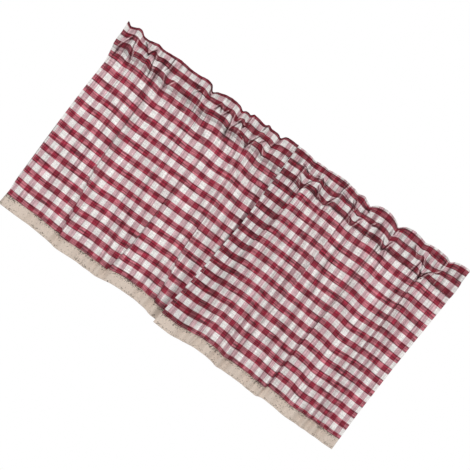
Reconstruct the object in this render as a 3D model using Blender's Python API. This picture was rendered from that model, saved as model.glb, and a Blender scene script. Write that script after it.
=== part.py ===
"""A pair of gingham cafe curtains with lace edging, drawn along one curtain rod.

Metres, +Z up. The origin lies on the rod's axis, midway along the pair. -Y is the front and +X is
to the viewer's right. Each curtain is three pieces of cloth: the gathered heading, with its rod
pocket and the frill above it, the body that hangs below, and the lace sewn along its hem. Under the
headings the right curtain's inner edge hangs in front of the left one's.

The body and the lace follow the same fold lines. A fold line is one crest or valley that runs down
the cloth, given by its place across at the shoulder, its place at the hem and how far it stands from
the rod's plane. The columns of the sheets run along these lines and between them.
"""

from typing import NamedTuple

import bmesh
import bpy
import numpy as np

# Cloth
MM = 0.001
CLOTH = 1.2 * MM            # body and pocket cloth, as a solid
LACE = 1.1 * MM
DOUBLE_CLOTH = 2.2 * MM     # two layers pressed together, in the frill and at the stitching
SEWN_GAP = 0.4 * MM         # between two pieces that are sewn edge to edge
COLUMNS_PER_FLANK = 3       # from one fold line to the next
HEADING_COLUMNS = 50

# Heights, from the rod's axis
FRILL_TOP = 45.0 * MM
UPPER_STITCH = 15.5 * MM
SHOULDER = -110.0 * MM      # below this the gathers have opened into folds
LACE_DEPTH = 25.0 * MM

# Rod pocket
POCKET_BULGE = 8.8 * MM     # from the rod's plane to the middle of the pocket's cloth
POCKET_LEVELS = (0.64, 0.0, -0.64)      # share of the pocket's half height
POCKET_TUCK = 2.4 * MM      # the hollow stops this far short of each row of stitches
PUCKER = 4.2 * MM           # how far the gathers stand out of the pocket
PUCKER_PITCH = 27.0 * MM
STITCH_WAVE = 1.6 * MM      # how far the stitched rows waver

# Frill
FRILL_WAVE = 4.6 * MM
FRILL_PITCH = 34.0 * MM
NOTCH_DEPTH = 3.4 * MM
NOTCH_HALF_WIDTH = 13.0 * MM

# Gathers below the heading, and the folds they open into
GATHER_DEPTH = 2.4 * MM
GATHER_FALL = 170.0 * MM    # the gathers fade out over this height
FOLD_GROWTH = 95.0 * MM     # the folds reach full depth this far below the heading
PART_GROWTH = 22.0 * MM     # the two curtains part this far below the heading, where they overlap
BODY_ROWS = (0.0, 0.03, 0.07, 0.12, 0.19, 0.3, 0.5, 0.75, 1.0)


class FoldLine(NamedTuple):
    """One crest or valley line of the cloth, in millimetres."""

    shoulder: float     # place across, at the shoulder
    hem: float          # place across, at the hem
    depth: float        # behind the rod's plane if positive, in front of it if negative


class EdgePoint(NamedTuple):
    """One point of a curtain's side edge, in millimetres."""

    height: float
    across: float


class HemPoint(NamedTuple):
    """How far the hem rises above its mean height, in millimetres."""

    across: float
    rise: float


class Curtain(NamedTuple):
    """The sizes and tables of one curtain."""

    name: str
    lower_stitch: float         # height of the pocket's lower row of stitches
    hem: float                  # mean height of the body's lower edge
    left_edge: tuple
    right_edge: tuple
    edge_depths: tuple          # fold depth at the left and right side edges, in millimetres
    folds: tuple
    hem_line: tuple
    notches: tuple              # places of the dips in the frill's top edge, in millimetres
    wave_start: float           # where the gathers' pattern starts, in radians
    parting: tuple              # shift across the overlap: from place, to place, depth (mm)


LEFT = Curtain(
    name="left",
    lower_stitch=-12.0 * MM,
    hem=-372.6 * MM,
    left_edge=(
        EdgePoint(45.0, -421.6), EdgePoint(-6.0, -418.6), EdgePoint(-48.0, -412.5),
        EdgePoint(-112.0, -415.0), EdgePoint(-219.0, -416.5), EdgePoint(-338.0, -416.0),
        EdgePoint(-364.0, -414.0), EdgePoint(-398.0, -417.0),
    ),
    right_edge=(
        EdgePoint(45.0, -2.4), EdgePoint(-30.0, -2.4), EdgePoint(-45.0, 6.0),
        EdgePoint(-60.0, 24.0), EdgePoint(-80.0, 42.0), EdgePoint(-115.0, 48.0),
        EdgePoint(-250.0, 42.0), EdgePoint(-372.0, 35.0), EdgePoint(-398.0, 33.0),
    ),
    edge_depths=(2.0, 4.0),
    folds=(
        FoldLine(-392.0, -390.0, -5.0), FoldLine(-367.0, -362.0, -3.0),
        FoldLine(-345.0, -342.0, 7.0), FoldLine(-331.0, -318.0, -4.0),
        FoldLine(-314.0, -294.0, -8.0), FoldLine(-303.0, -280.0, 8.5),
        FoldLine(-290.0, -264.0, -6.0), FoldLine(-262.0, -244.0, -5.0),
        FoldLine(-238.0, -220.0, 7.0), FoldLine(-224.0, -204.0, -3.0),
        FoldLine(-205.0, -189.0, 6.0), FoldLine(-184.0, -179.0, -4.0),
        FoldLine(-149.0, -163.0, 8.0), FoldLine(-139.0, -152.0, -7.0),
        FoldLine(-112.0, -122.0, -3.0), FoldLine(-98.0, -98.0, -4.5),
        FoldLine(-82.0, -83.0, 7.0), FoldLine(-70.0, -67.0, -5.0),
        FoldLine(-60.0, -53.0, 7.0), FoldLine(-47.0, -42.0, -5.0),
        FoldLine(-24.0, -25.0, 6.0), FoldLine(-12.0, -14.0, -4.5),
        FoldLine(1.0, -3.0, 6.5), FoldLine(14.0, 7.0, -4.5),
        FoldLine(26.0, 17.0, 6.5), FoldLine(37.0, 26.0, -4.0),
    ),
    hem_line=(
        HemPoint(-416.0, 1.6), HemPoint(-345.0, -0.4), HemPoint(-310.0, 0.2),
        HemPoint(-276.0, -3.6), HemPoint(-206.0, -1.6), HemPoint(-166.0, -2.2),
        HemPoint(-146.0, 2.0), HemPoint(-86.0, 3.4), HemPoint(-46.0, -0.6),
        HemPoint(0.0, -2.0), HemPoint(40.0, -1.0),
    ),
    notches=(-411.0, -380.0, -328.0, -205.0, -132.0, -88.0, -39.0),
    wave_start=0.4,
    parting=(-60.0, -12.0, 8.0),
)

RIGHT = Curtain(
    name="right",
    lower_stitch=-19.5 * MM,
    hem=-379.0 * MM,
    left_edge=(
        EdgePoint(45.0, -1.7), EdgePoint(-30.0, -0.9), EdgePoint(-143.0, -2.0),
        EdgePoint(-222.0, -8.5), EdgePoint(-288.0, -14.6), EdgePoint(-352.0, -22.6),
        EdgePoint(-405.0, -28.5),
    ),
    right_edge=(
        EdgePoint(45.0, 420.6), EdgePoint(-34.0, 419.6), EdgePoint(-95.0, 417.0),
        EdgePoint(-130.0, 415.0), EdgePoint(-214.0, 411.7), EdgePoint(-313.0, 409.0),
        EdgePoint(-405.0, 409.0),
    ),
    edge_depths=(-1.0, 2.0),
    folds=(
        FoldLine(16.0, -4.0, -2.5), FoldLine(31.0, 16.0, -6.0),
        FoldLine(46.0, 36.0, 5.0), FoldLine(61.0, 51.0, -7.0),
        FoldLine(76.0, 70.0, 6.0), FoldLine(92.0, 86.0, -7.0),
        FoldLine(104.0, 99.0, -5.0), FoldLine(116.0, 112.0, 11.0),
        FoldLine(130.0, 125.0, -6.0), FoldLine(143.0, 138.0, 9.5),
        FoldLine(156.0, 153.0, -9.5), FoldLine(173.0, 170.0, -2.5),
        FoldLine(184.0, 187.0, 7.0), FoldLine(199.0, 199.0, -6.0),
        FoldLine(216.0, 213.0, 3.5), FoldLine(231.0, 224.0, -9.5),
        FoldLine(243.0, 233.0, 11.0), FoldLine(258.0, 250.0, -7.0),
        FoldLine(276.0, 270.0, 3.5), FoldLine(294.0, 287.0, -7.0),
        FoldLine(311.0, 305.0, -5.0), FoldLine(327.0, 322.0, 10.0),
        FoldLine(337.0, 332.0, -6.0), FoldLine(346.0, 343.0, 9.5),
        FoldLine(358.0, 355.0, -7.0), FoldLine(373.0, 370.0, 8.5),
        FoldLine(389.0, 387.0, -6.0),
    ),
    hem_line=(
        HemPoint(-30.0, -2.8), HemPoint(30.0, -2.4), HemPoint(56.0, 2.2),
        HemPoint(88.0, 3.6), HemPoint(135.0, 0.2), HemPoint(216.0, -1.4),
        HemPoint(250.0, 2.2), HemPoint(292.0, -1.2), HemPoint(350.0, -1.0),
        HemPoint(410.0, 1.4),
    ),
    notches=(39.0, 112.0, 184.0, 255.0, 322.0, 378.0),
    wave_start=1.9,
    parting=(55.0, 10.0, -7.5),
)


class Finish(NamedTuple):
    """Colour and roughness of one cloth."""

    name: str
    colour: tuple
    roughness: float


GINGHAM = Finish("red gingham cotton", (0.42, 0.11, 0.14, 1.0), 0.85)
HEADING_GINGHAM = Finish("red gingham heading", (0.36, 0.08, 0.11, 1.0), 0.85)
COTTON_LACE = Finish("natural cotton lace", (0.62, 0.55, 0.46, 1.0), 0.9)


def smooth(share):
    """Ease from 0 to 1 as share goes from 0 to 1."""
    held = np.clip(share, 0.0, 1.0)
    return held * held * (3.0 - 2.0 * held)


def edge_places(curtain, height):
    """Places across of the two side edges at one height, in metres."""
    places = []
    for table in (curtain.left_edge, curtain.right_edge):
        heights = [-point.height for point in table]
        across = [point.across for point in table]
        places.append(float(np.interp(-height / MM, heights, across)) * MM)
    return places


def parting_shift(curtain, across, height):
    """How far the cloth is pushed back or forward to clear the other curtain."""
    start, end, depth = curtain.parting
    reach = smooth((across / MM - start) / (end - start))
    return depth * MM * reach * smooth((curtain.lower_stitch - height) / PART_GROWTH)


def fold_lines(curtain, height):
    """Shares of the width and depths of every fold line at one height, the side edges included."""
    left, right = edge_places(curtain, SHOULDER)
    hem_left, hem_right = edge_places(curtain, curtain.hem)
    fall = np.clip((SHOULDER - height) / (SHOULDER - curtain.hem), 0.0, 1.0)
    shares = [0.0]
    depths = [curtain.edge_depths[0]]
    for fold in curtain.folds:
        upper = (fold.shoulder * MM - left) / (right - left)
        lower = (fold.hem * MM - hem_left) / (hem_right - hem_left)
        shares.append(upper + (lower - upper) * fall)
        depths.append(fold.depth)
    return np.array(shares + [1.0]), np.array(depths + [curtain.edge_depths[1]]) * MM


def folded_columns(curtain, height):
    """Shares of the width and fold depths of every column: a cosine wave between fold lines."""
    lines, depths = fold_lines(curtain, height)
    steps = np.arange(COLUMNS_PER_FLANK) / COLUMNS_PER_FLANK
    wave = 0.5 - 0.5 * np.cos(np.pi * steps)
    shares = lines[:-1, None] + np.diff(lines)[:, None] * steps
    folds = depths[:-1, None] + np.diff(depths)[:, None] * wave
    return np.append(shares.ravel(), 1.0), np.append(folds.ravel(), depths[-1])


def uneven_wave(across, pitch, start):
    """A wave from -1 to 1 whose pitch and height change along the cloth."""
    turn = 2.0 * np.pi * across / pitch
    drift = 1.1 * np.sin(turn * 0.173 + start)
    strength = 0.72 + 0.28 * np.sin(turn * 0.311 + 2.0 * start)
    return np.sin(turn + drift + start) * strength


def hanging_row(curtain, height):
    """Places across and depths of every column of the hanging cloth at one height."""
    left, right = edge_places(curtain, height)
    shares, folds = folded_columns(curtain, height)
    across = left + (right - left) * shares
    drop = curtain.lower_stitch - height
    gathers = GATHER_DEPTH * uneven_wave(across, PUCKER_PITCH, curtain.wave_start)
    gathers = gathers * (1.0 - smooth(drop / GATHER_FALL))
    depth = gathers + folds * smooth(drop / FOLD_GROWTH) + parting_shift(curtain, across, height)
    return across, depth


def hem_rise(curtain, across):
    """How far the hem stands above its mean height at one place."""
    places = [point.across for point in curtain.hem_line]
    rises = [point.rise for point in curtain.hem_line]
    return float(np.interp(across / MM, places, rises)) * MM


def material_for(finish):
    """Return the Principled material of one finish."""
    material = bpy.data.materials.new(finish.name)
    material.use_nodes = True
    material.diffuse_color = finish.colour
    shader = material.node_tree.nodes["Principled BSDF"]
    shader.inputs["Base Color"].default_value = finish.colour
    shader.inputs["Roughness"].default_value = finish.roughness
    shader.inputs["Metallic"].default_value = 0.0
    return material


def add_object(name, bm, material):
    """Make an object of a finished bmesh and link it to the scene."""
    mesh = bpy.data.meshes.new(name)
    bm.to_mesh(mesh)
    bm.free()
    mesh.materials.append(material)
    piece = bpy.data.objects.new(name, mesh)
    bpy.context.scene.collection.objects.link(piece)
    return piece


def hung_sheet(name, curtain, heights, thickness, material):
    """Hang one sheet: a grid placed along the fold lines, thickened to a closed solid.

    Heights is a list of rows, each as its mean height and the share of the hem's rise it takes.
    """
    bm = bmesh.new()
    rows = len(heights) - 1
    columns = (len(curtain.folds) + 1) * COLUMNS_PER_FLANK
    bmesh.ops.create_grid(bm, x_segments=columns, y_segments=rows, size=1.0)
    hung = [hanging_row(curtain, height) for height, _ in heights]
    for vert in bm.verts:
        column = round((vert.co.x + 1.0) * 0.5 * columns)
        row = round((1.0 - vert.co.y) * 0.5 * rows)
        across, depth = hung[row][0][column], hung[row][1][column]
        height, share = heights[row]
        vert.co = (across, depth, height + share * hem_rise(curtain, across))
    piece = add_object(name, bm, material)
    skin = piece.modifiers.new("cloth thickness", "SOLIDIFY")
    skin.thickness = thickness
    skin.offset = 0.0
    return piece


def add_body(curtain, material):
    """Hang the gingham body, from the pocket's lower stitches to the hem."""
    top = curtain.lower_stitch - SEWN_GAP
    rows = []
    for share in BODY_ROWS:
        rows.append((top + (curtain.hem - top) * share, smooth(share)))
    return hung_sheet(f"{curtain.name}_panel", curtain, rows, CLOTH, material)


def add_lace(curtain, material):
    """Hang the lace edging, sewn edge to edge under the hem."""
    top = curtain.hem - SEWN_GAP
    rows = [(top, 1.0), (top - LACE_DEPTH, 1.0)]
    return hung_sheet(f"{curtain.name}_lace", curtain, rows, LACE, material)


def pocket_outline(curtain, across, side):
    """Points of the pocket cloth's middle on one side, from the upper stitches down.

    Side is -1 for the front and 1 for the back.
    """
    middle = 0.5 * (UPPER_STITCH + curtain.lower_stitch)
    half = 0.5 * (UPPER_STITCH - curtain.lower_stitch)
    start = curtain.wave_start + 0.8 * side
    swell = 0.5 + 0.5 * uneven_wave(across, PUCKER_PITCH, start)
    points = []
    for level in POCKET_LEVELS:
        bulge = POCKET_BULGE * np.sqrt(1.0 - level * level) + PUCKER * swell
        points.append((side * bulge, middle + level * half))
    return points


def heading_section(curtain, across):
    """The heading cut across at one place, as (depth, height) points.

    Fourteen points run round the outside, from the frill's front top edge down the front and up the
    back. Eight more run round the hollow, from its top down the front and up the back.
    """
    start = curtain.wave_start
    notch = sum(
        0.5 + 0.5 * np.cos(np.pi * min(1.0, abs(across - place * MM) / NOTCH_HALF_WIDTH))
        for place in curtain.notches
    )
    top = FRILL_TOP - NOTCH_DEPTH * notch
    frill = FRILL_WAVE * uneven_wave(across, FRILL_PITCH, start + 1.3)
    upper = STITCH_WAVE * uneven_wave(across, PUCKER_PITCH, start + 0.6)
    lower = GATHER_DEPTH * uneven_wave(across, PUCKER_PITCH, start)
    half = 0.5 * DOUBLE_CLOTH
    frill_middle = 0.5 * (top + UPPER_STITCH)
    spine = [(frill, top), (0.5 * (frill + upper), frill_middle), (upper, UPPER_STITCH)]
    front = pocket_outline(curtain, across, -1)
    back = pocket_outline(curtain, across, 1)
    wall = 0.5 * CLOTH
    outside = [(depth - half, height) for depth, height in spine]
    outside += [(depth - wall, height) for depth, height in front]
    outside += [(lower - half, curtain.lower_stitch), (lower + half, curtain.lower_stitch)]
    outside += [(depth + wall, height) for depth, height in reversed(back)]
    outside += [(depth + half, height) for depth, height in reversed(spine)]
    hollow = [(upper, UPPER_STITCH - POCKET_TUCK)]
    hollow += [(depth + wall, height) for depth, height in front]
    hollow += [(lower, curtain.lower_stitch + POCKET_TUCK)]
    hollow += [(depth - wall, height) for depth, height in reversed(back)]
    return outside + hollow


# The heading's end, as faces over the points of its section
END_FACES = (
    (0, 1, 12, 13), (1, 2, 11, 12), (2, 14, 11),
    (2, 3, 15, 14), (3, 4, 16, 15), (4, 5, 17, 16), (5, 6, 18, 17), (6, 7, 18),
    (7, 8, 19, 18), (8, 9, 20, 19), (9, 10, 21, 20), (10, 11, 14, 21),
)


def add_heading(curtain, material):
    """Extrude the heading's end face along the rod, reshaping it at each column."""
    name = f"{curtain.name}_heading"
    middle = 0.5 * (FRILL_TOP + curtain.lower_stitch)
    left, right = edge_places(curtain, middle)
    bm = bmesh.new()
    place_in_section = bm.verts.layers.int.new("place in section")
    verts = []
    for index, (depth, height) in enumerate(heading_section(curtain, left)):
        vert = bm.verts.new((left, depth, height))
        vert[place_in_section] = index
        verts.append(vert)
    end = [bm.faces.new([verts[index] for index in face]) for face in END_FACES]
    for column in range(1, HEADING_COLUMNS + 1):
        across = left + (right - left) * column / HEADING_COLUMNS
        section = heading_section(curtain, across)
        grown = bmesh.ops.extrude_face_region(bm, geom=end)["geom"]
        if column > 1:
            bmesh.ops.delete(bm, geom=end, context="FACES")
        end = [item for item in grown if isinstance(item, bmesh.types.BMFace)]
        for item in grown:
            if isinstance(item, bmesh.types.BMVert):
                depth, height = section[item[place_in_section]]
                item.co = (across, depth, height)
    bmesh.ops.recalc_face_normals(bm, faces=bm.faces)
    return add_object(name, bm, material)


def clear_scene():
    """Remove every object that the file holds."""
    for old in list(bpy.data.objects):
        bpy.data.objects.remove(old, do_unlink=True)


def build():
    """Model both curtains."""
    clear_scene()
    gingham = material_for(GINGHAM)
    heading = material_for(HEADING_GINGHAM)
    lace = material_for(COTTON_LACE)
    for curtain in (LEFT, RIGHT):
        add_heading(curtain, heading)
        add_body(curtain, gingham)
        add_lace(curtain, lace)


build()
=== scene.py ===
"""Dress a pair of gingham cafe curtains, edged with lace, in their cloth, thread and studio light.

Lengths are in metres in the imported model's frame: the origin on the rod's axis midway along the pair,
-Y to the front, +X to the viewer's right and +Z up. Tables are in millimetres, read from the photo.
The heights in row_places were measured on it by a separate script and partly corrected by hand.

Each curtain is one length of cloth. It runs from the hem up the front of the body, over the rod pocket
and the frill, and down behind to the pocket's lower stitches. Its columns are its warp threads, spaced
evenly along the cloth, so that the woven checks close up wherever the cloth turns away in a fold.
"""

import logging
import math
import random
from dataclasses import dataclass, field
from enum import Enum
from typing import TypeVar

import bmesh
import bpy
import numpy as np
from mathutils import Matrix, Vector


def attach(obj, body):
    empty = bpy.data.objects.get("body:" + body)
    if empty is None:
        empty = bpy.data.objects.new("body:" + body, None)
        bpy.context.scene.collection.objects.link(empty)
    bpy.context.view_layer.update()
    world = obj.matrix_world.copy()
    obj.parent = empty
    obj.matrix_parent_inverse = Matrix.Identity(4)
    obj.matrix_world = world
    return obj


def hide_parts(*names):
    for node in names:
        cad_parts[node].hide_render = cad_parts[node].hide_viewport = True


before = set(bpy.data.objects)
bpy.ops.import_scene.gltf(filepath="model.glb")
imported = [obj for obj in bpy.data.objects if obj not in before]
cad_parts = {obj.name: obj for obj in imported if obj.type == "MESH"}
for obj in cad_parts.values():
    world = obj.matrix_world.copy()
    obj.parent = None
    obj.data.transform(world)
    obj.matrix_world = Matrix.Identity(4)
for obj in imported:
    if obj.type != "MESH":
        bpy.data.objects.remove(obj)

log = logging.getLogger("cafe_curtains")

MM = 0.001
BODY = "root"
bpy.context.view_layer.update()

Kind = TypeVar("Kind")
Colour = tuple[float, float, float, float]
Triple = tuple[float, float, float]
Pair = tuple[float, float]
Socket = bpy.types.NodeSocket


class Face(Enum):
    """Which side of the rod a layer of the heading lies on."""

    FRONT = -1.0
    BACK = 1.0


def smooth(share: np.ndarray | float) -> np.ndarray | float:
    """Ease from 0 to 1 as share goes from 0 to 1.

    Args:
        share: One value or an array of them.

    Returns:
        The eased values, held at 0 and 1 outside the range.
    """
    held = np.clip(share, 0.0, 1.0)
    return held * held * (3.0 - 2.0 * held)


@dataclass(frozen=True)
class Unevenness:
    """How much the pitch and the height of a row of gathers wander, and how slowly."""

    drift: float = 1.1
    drift_rate: float = 0.173
    least: float = 0.72
    change: float = 0.28
    change_rate: float = 0.311


UNEVEN = Unevenness()


def uneven_wave(across: np.ndarray, pitch: float, start: float) -> np.ndarray:
    """Wave from -1 to 1 whose pitch and height change along the cloth.

    Args:
        across: Places along the rod.
        pitch: Mean length of one wave.
        start: Where the pattern begins, in radians.

    Returns:
        The wave's height at each place.
    """
    turn = 2.0 * np.pi * across / pitch
    drift = UNEVEN.drift * np.sin(turn * UNEVEN.drift_rate + start)
    strength = UNEVEN.least + UNEVEN.change * np.sin(turn * UNEVEN.change_rate + 2.0 * start)
    return np.sin(turn + drift + start) * strength


def rounded(places: np.ndarray, knots: list[float] | np.ndarray, values: list[float] | np.ndarray,
            shifts: tuple[float, ...]) -> np.ndarray:
    """Read a line as the mean of readings to each side, which rounds its corners.

    Args:
        places: Where to read the line.
        knots: The places of the line's points.
        values: The values of the line's points.
        shifts: How far to the side each reading is taken.

    Returns:
        The rounded values.
    """
    return np.mean([np.interp(places + shift, knots, values) for shift in shifts], axis=0)


def at_height(height: float, heights: list[float], values: list[float] | range) -> float:
    """Read a line of values that is given from the top down.

    Args:
        height: Where to read the line, in metres.
        heights: The heights of the line's points, in millimetres.
        values: The values of the line's points.

    Returns:
        The value there.
    """
    return float(np.interp(-height / MM, [-level for level in heights], values))


def bell(reach: int, spread: float) -> np.ndarray:
    """Return the weights of a bell-shaped mean over the points within reach to each side."""
    weights = np.exp(-0.5 * (np.arange(-reach, reach + 1) / spread) ** 2)
    return weights / weights.sum()


def table(kind: type[Kind], *rows: tuple) -> tuple[Kind, ...]:
    """Make one entry of a kind from each row of its sizes."""
    return tuple(kind(*row) for row in rows)


@dataclass(frozen=True)
class FoldLine:
    """One crest or valley line of the hanging cloth, in millimetres."""

    shoulder: float
    hem: float
    depth: float


@dataclass(frozen=True)
class EdgePoint:
    """One point of a curtain's side edge, in millimetres."""

    height: float
    across: float


@dataclass(frozen=True)
class RowPlace:
    """Where the measured woven rows and the hem's edge hang at one place across, in millimetres."""

    across: float
    heights: tuple[float, ...]


@dataclass(frozen=True)
class StepPoint:
    """A point on a fold's edge, and how far the rows on its right lie lower there, in millimetres."""

    across: float
    height: float
    drop: float


@dataclass(frozen=True)
class LinePoint:
    """One point of a woven line of the heading: its place across and its height, in millimetres."""

    across: float
    height: float


@dataclass(frozen=True)
class WovenLine:
    """The true course of one line of the heading, whose mean height is given in millimetres."""

    height: float
    points: tuple[LinePoint, ...]


@dataclass(frozen=True)
class ColumnPlace:
    """Where the middle of one red column hangs at four levels, in millimetres across."""

    heading: float
    high: float
    middle: float
    low: float
    shift: float = 0.0


@dataclass(frozen=True)
class RowMark:
    """A height, and how far up the flat cloth from the hem the thread there lies, in millimetres."""

    height: float
    along: float


@dataclass(frozen=True)
class Crease:
    """A narrow tuck that runs down the cloth with a ridge beside it, in millimetres.

    The path runs from the top to the bottom, in points of place across and height. Side is 1 where
    the ridge lies to the tuck's right and -1 where it lies to its left.
    """

    path: tuple[Pair, ...]
    width: float
    depth: float
    side: int = 1


@dataclass(frozen=True)
class Heights:
    """Heights that both curtains share, from the rod's axis, and the lace's depth, in metres."""

    frill_top: float = 45.0 * MM
    upper_stitch: float = 15.5 * MM
    shoulder: float = -110.0 * MM
    columns_heading: float = 6.0 * MM
    columns_high: float = -40.0 * MM
    columns_middle: float = -212.0 * MM
    columns_low: float = -361.0 * MM
    lace_depth: float = 25.0 * MM


HEIGHTS = Heights()


@dataclass(frozen=True)
class Gathering:
    """How strongly the heading gathers the cloth, in metres, shares or radians of its pattern."""

    bulge: float = 8.8 * MM
    pucker: float = 4.2 * MM
    pucker_pitch: float = 23.0 * MM
    back_start: float = 0.8
    frill_wave: float = 2.76 * MM
    frill_pitch: float = 34.0 * MM
    frill_start: float = 1.3
    frill_flare: float = 0.34
    frill_level: float = 0.94
    pocket_flare: float = 0.42
    fine_pitch: float = 9.0 * MM
    middling_pitch: float = 13.5 * MM
    ripple: float = 1.2 * MM
    ripple_shares: Triple = (0.42, 0.62, 0.9)
    ripple_sharpness: float = 0.35
    upper_start: float = 0.6
    middle_start: float = 0.4
    middle_share: float = 1.3
    middle_slant: float = 3.0 * MM
    loose_start: float = 2.1
    loose_share: float = 0.75
    loose_slant: float = 4.0 * MM
    ripple_fall: float = 75.0 * MM
    fold_growth: float = 95.0 * MM
    part_growth: float = 22.0 * MM
    layer_gap: float = 1.1 * MM


GATHERING = Gathering()


@dataclass(frozen=True)
class Rounding:
    """How far to each side a line is read to round its corners, and how soft a fold's edge is.

    The shifts of the heading's lines are in millimetres and all others in metres.
    """

    heading_line: tuple[float, ...] = (-2.0, -0.7, 0.7, 2.0)
    row: tuple[float, ...] = (-4.0 * MM, 0.0, 4.0 * MM)
    thread: tuple[float, ...] = (-3.0 * MM, -1.0 * MM, 1.0 * MM, 3.0 * MM)
    thread_margin: float = 6.0 * MM
    sharp_step: float = 0.1 * MM
    soft_step: float = 3.0 * MM


ROUNDING = Rounding()


@dataclass(frozen=True)
class Tuck:
    """How the creases begin and end and stand out, and how dark their painted shade and bright their
    painted highlights are, in millimetres or as shares.
    """

    longest_end: float = 16.0
    end_share: float = 0.45
    end_start: float = 0.55
    to_hem: float = 370.0
    heading_reach: float = 20.0
    body_depth: float = 0.66
    ridge_height: float = 0.6
    ridge_offset: float = 2.1
    ridge_narrowing: float = 0.8
    breadth: float = 1.05
    heading_breadth: float = 0.55
    dark: float = 0.62
    heading_dark: float = 0.48
    full_depth: float = 3.0
    lit_offset: float = 2.2
    lit_breadth: float = 0.9
    dark_over_lit: float = 0.3


TUCK = Tuck()


@dataclass(frozen=True)
class Weave:
    """Sizes of the woven cloth, in metres or as shares of one check."""

    check: float = 28.45 * MM
    red_columns: float = 0.49
    red_rows: float = 0.48
    thickness: float = 0.5 * MM


WEAVE = Weave()


@dataclass(frozen=True)
class Drape:
    """How one curtain hangs: its edges, folds, creases and the dip of its woven rows.

    Its tables, row levels, edge depths and parting are in millimetres, its other lengths in metres.
    """

    name: str
    flat_width: float
    lower_stitch: float
    hem: float
    left_edge: tuple[EdgePoint, ...]
    right_edge: tuple[EdgePoint, ...]
    edge_depths: Pair
    folds: tuple[FoldLine, ...]
    columns: tuple[ColumnPlace, ...]
    row_marks: tuple[RowMark, ...]
    row_levels: tuple[float, ...]
    row_places: tuple[RowPlace, ...]
    steps: tuple[tuple[StepPoint, ...], ...]
    heading: tuple[WovenLine, ...]
    creases: tuple[Crease, ...]
    wave_start: float
    parting: Triple
    first_column: float
    first_row: float
    # Painted shade: a dark top rim, and darker cloth where it is doubled, down to turning_fall below the
    # lower stitches and left of doubled_edge.
    rim_shade: float = 0.0
    turning_fall: float = 0.0
    doubled_edge: tuple[EdgePoint, ...] = ()
    samples: int = 3200

    def edges(self, height: float) -> Pair:
        """Return the places across of the two side edges at one height."""
        places = []
        for edge in (self.left_edge, self.right_edge):
            heights = [point.height for point in edge]
            places.append(at_height(height, heights, [point.across for point in edge]) * MM)
        return places[0], places[1]

    @staticmethod
    def line(points: tuple[LinePoint, ...], across: np.ndarray) -> np.ndarray:
        """Read a line of the heading at each place.

        Args:
            points: The line's points.
            across: Places along the rod.

        Returns:
            The line's heights, in metres.
        """
        places = [point.across for point in points]
        heights = [point.height for point in points]
        return rounded(across / MM, places, heights, ROUNDING.heading_line) * MM

    def step_share(self, across: np.ndarray, height: float, soft: float) -> np.ndarray:
        """Return how far the folds' edges lower the rows at each place.

        Args:
            across: Places along the rod.
            height: The height of the row.
            soft: How broad the edge is.

        Returns:
            The drops of all edges to the left of each place.
        """
        total = np.zeros_like(across)
        for edge in self.steps:
            heights = [point.height for point in edge]
            line = at_height(height, heights, [point.across for point in edge]) * MM
            drop = at_height(height, heights, [point.drop for point in edge]) * MM
            total += drop * smooth(0.5 + (across - line) / soft)
        return total

    def row_rise(self, across: np.ndarray, height: float) -> np.ndarray:
        """Return how far a thread that runs across the cloth stands above its mean height.

        Args:
            across: Places along the rod.
            height: The thread's mean height.

        Returns:
            The rise at each place, negative where the thread dips.
        """
        places = np.array([place.across for place in self.row_places]) * MM
        levels = [line.height for line in self.heading] + list(self.row_levels)
        rises = [self.line(line.points, across) - line.height * MM for line in self.heading]
        for index, level in enumerate(self.row_levels):
            heights = np.array([place.heights[index] - level for place in self.row_places]) * MM
            heights = heights + self.step_share(places, level * MM, ROUNDING.sharp_step)
            rises.append(rounded(across, places, heights, ROUNDING.row))
        place = at_height(height, levels, range(len(levels)))
        upper = min(int(place), len(levels) - 2)
        rise = rises[upper] + (rises[upper + 1] - rises[upper]) * (place - upper)
        return rise - self.step_share(across, height, ROUNDING.soft_step)

    @staticmethod
    def crease_offset(crease: Crease, across: np.ndarray, height: float) -> tuple[np.ndarray, float]:
        """Measure from a crease's line.

        Args:
            crease: The crease.
            across: Places along the rod.
            height: The height of the row.

        Returns:
            The distances square to the crease's line, positive to its right, and the crease's
            strength at this height.
        """
        drops = [-point[1] for point in crease.path]
        places = [point[0] for point in crease.path]
        line = float(np.interp(-height / MM, drops, places)) * MM
        reach = min(TUCK.longest_end, TUCK.end_share * (drops[-1] - drops[0]))
        growth = smooth((-height / MM - drops[0]) / reach + TUCK.end_start)
        fade = 1.0
        if drops[-1] <= TUCK.to_hem:
            fade = smooth((drops[-1] + height / MM) / reach + TUCK.end_start)
        step = 2.0
        below = float(np.interp(step - height / MM, drops, places)) * MM
        slant = math.hypot(1.0, (below - line) / (step * MM))
        return (across - line) / slant, float(growth * fade)

    def thread_places(self, threads: np.ndarray, height: float) -> np.ndarray:
        """Return where the warp threads hang at one height.

        Args:
            threads: Each thread's distance over the flat cloth from its left edge.
            height: The height of the row.

        Returns:
            Their places along the rod.
        """
        left, right = self.edges(height)
        levels = (HEIGHTS.columns_heading, HEIGHTS.columns_high, HEIGHTS.columns_middle,
                  HEIGHTS.columns_low)
        knots = [0.0]
        places = [left]
        for index, column in enumerate(self.columns):
            course = (column.heading, column.high, column.middle, column.low)
            knots.append(self.first_column + WEAVE.check * (index + column.shift))
            places.append(float(np.interp(-height, [-level for level in levels], course)) * MM)
        knots.append(self.flat_width)
        places.append(right)
        eased = rounded(threads, knots, places, ROUNDING.thread)
        from_edge = np.minimum(threads, self.flat_width - threads)
        share = np.clip(from_edge / ROUNDING.thread_margin, 0.0, 1.0)
        return eased * share + np.interp(threads, knots, places) * (1.0 - share)

    def thread_along(self, height: float) -> float:
        """Return how far up the flat cloth the thread at one height of the front lies."""
        heights = [mark.height for mark in self.row_marks]
        marks = [mark.along for mark in self.row_marks]
        return float(np.interp(height / MM, heights, marks)) * MM

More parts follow.
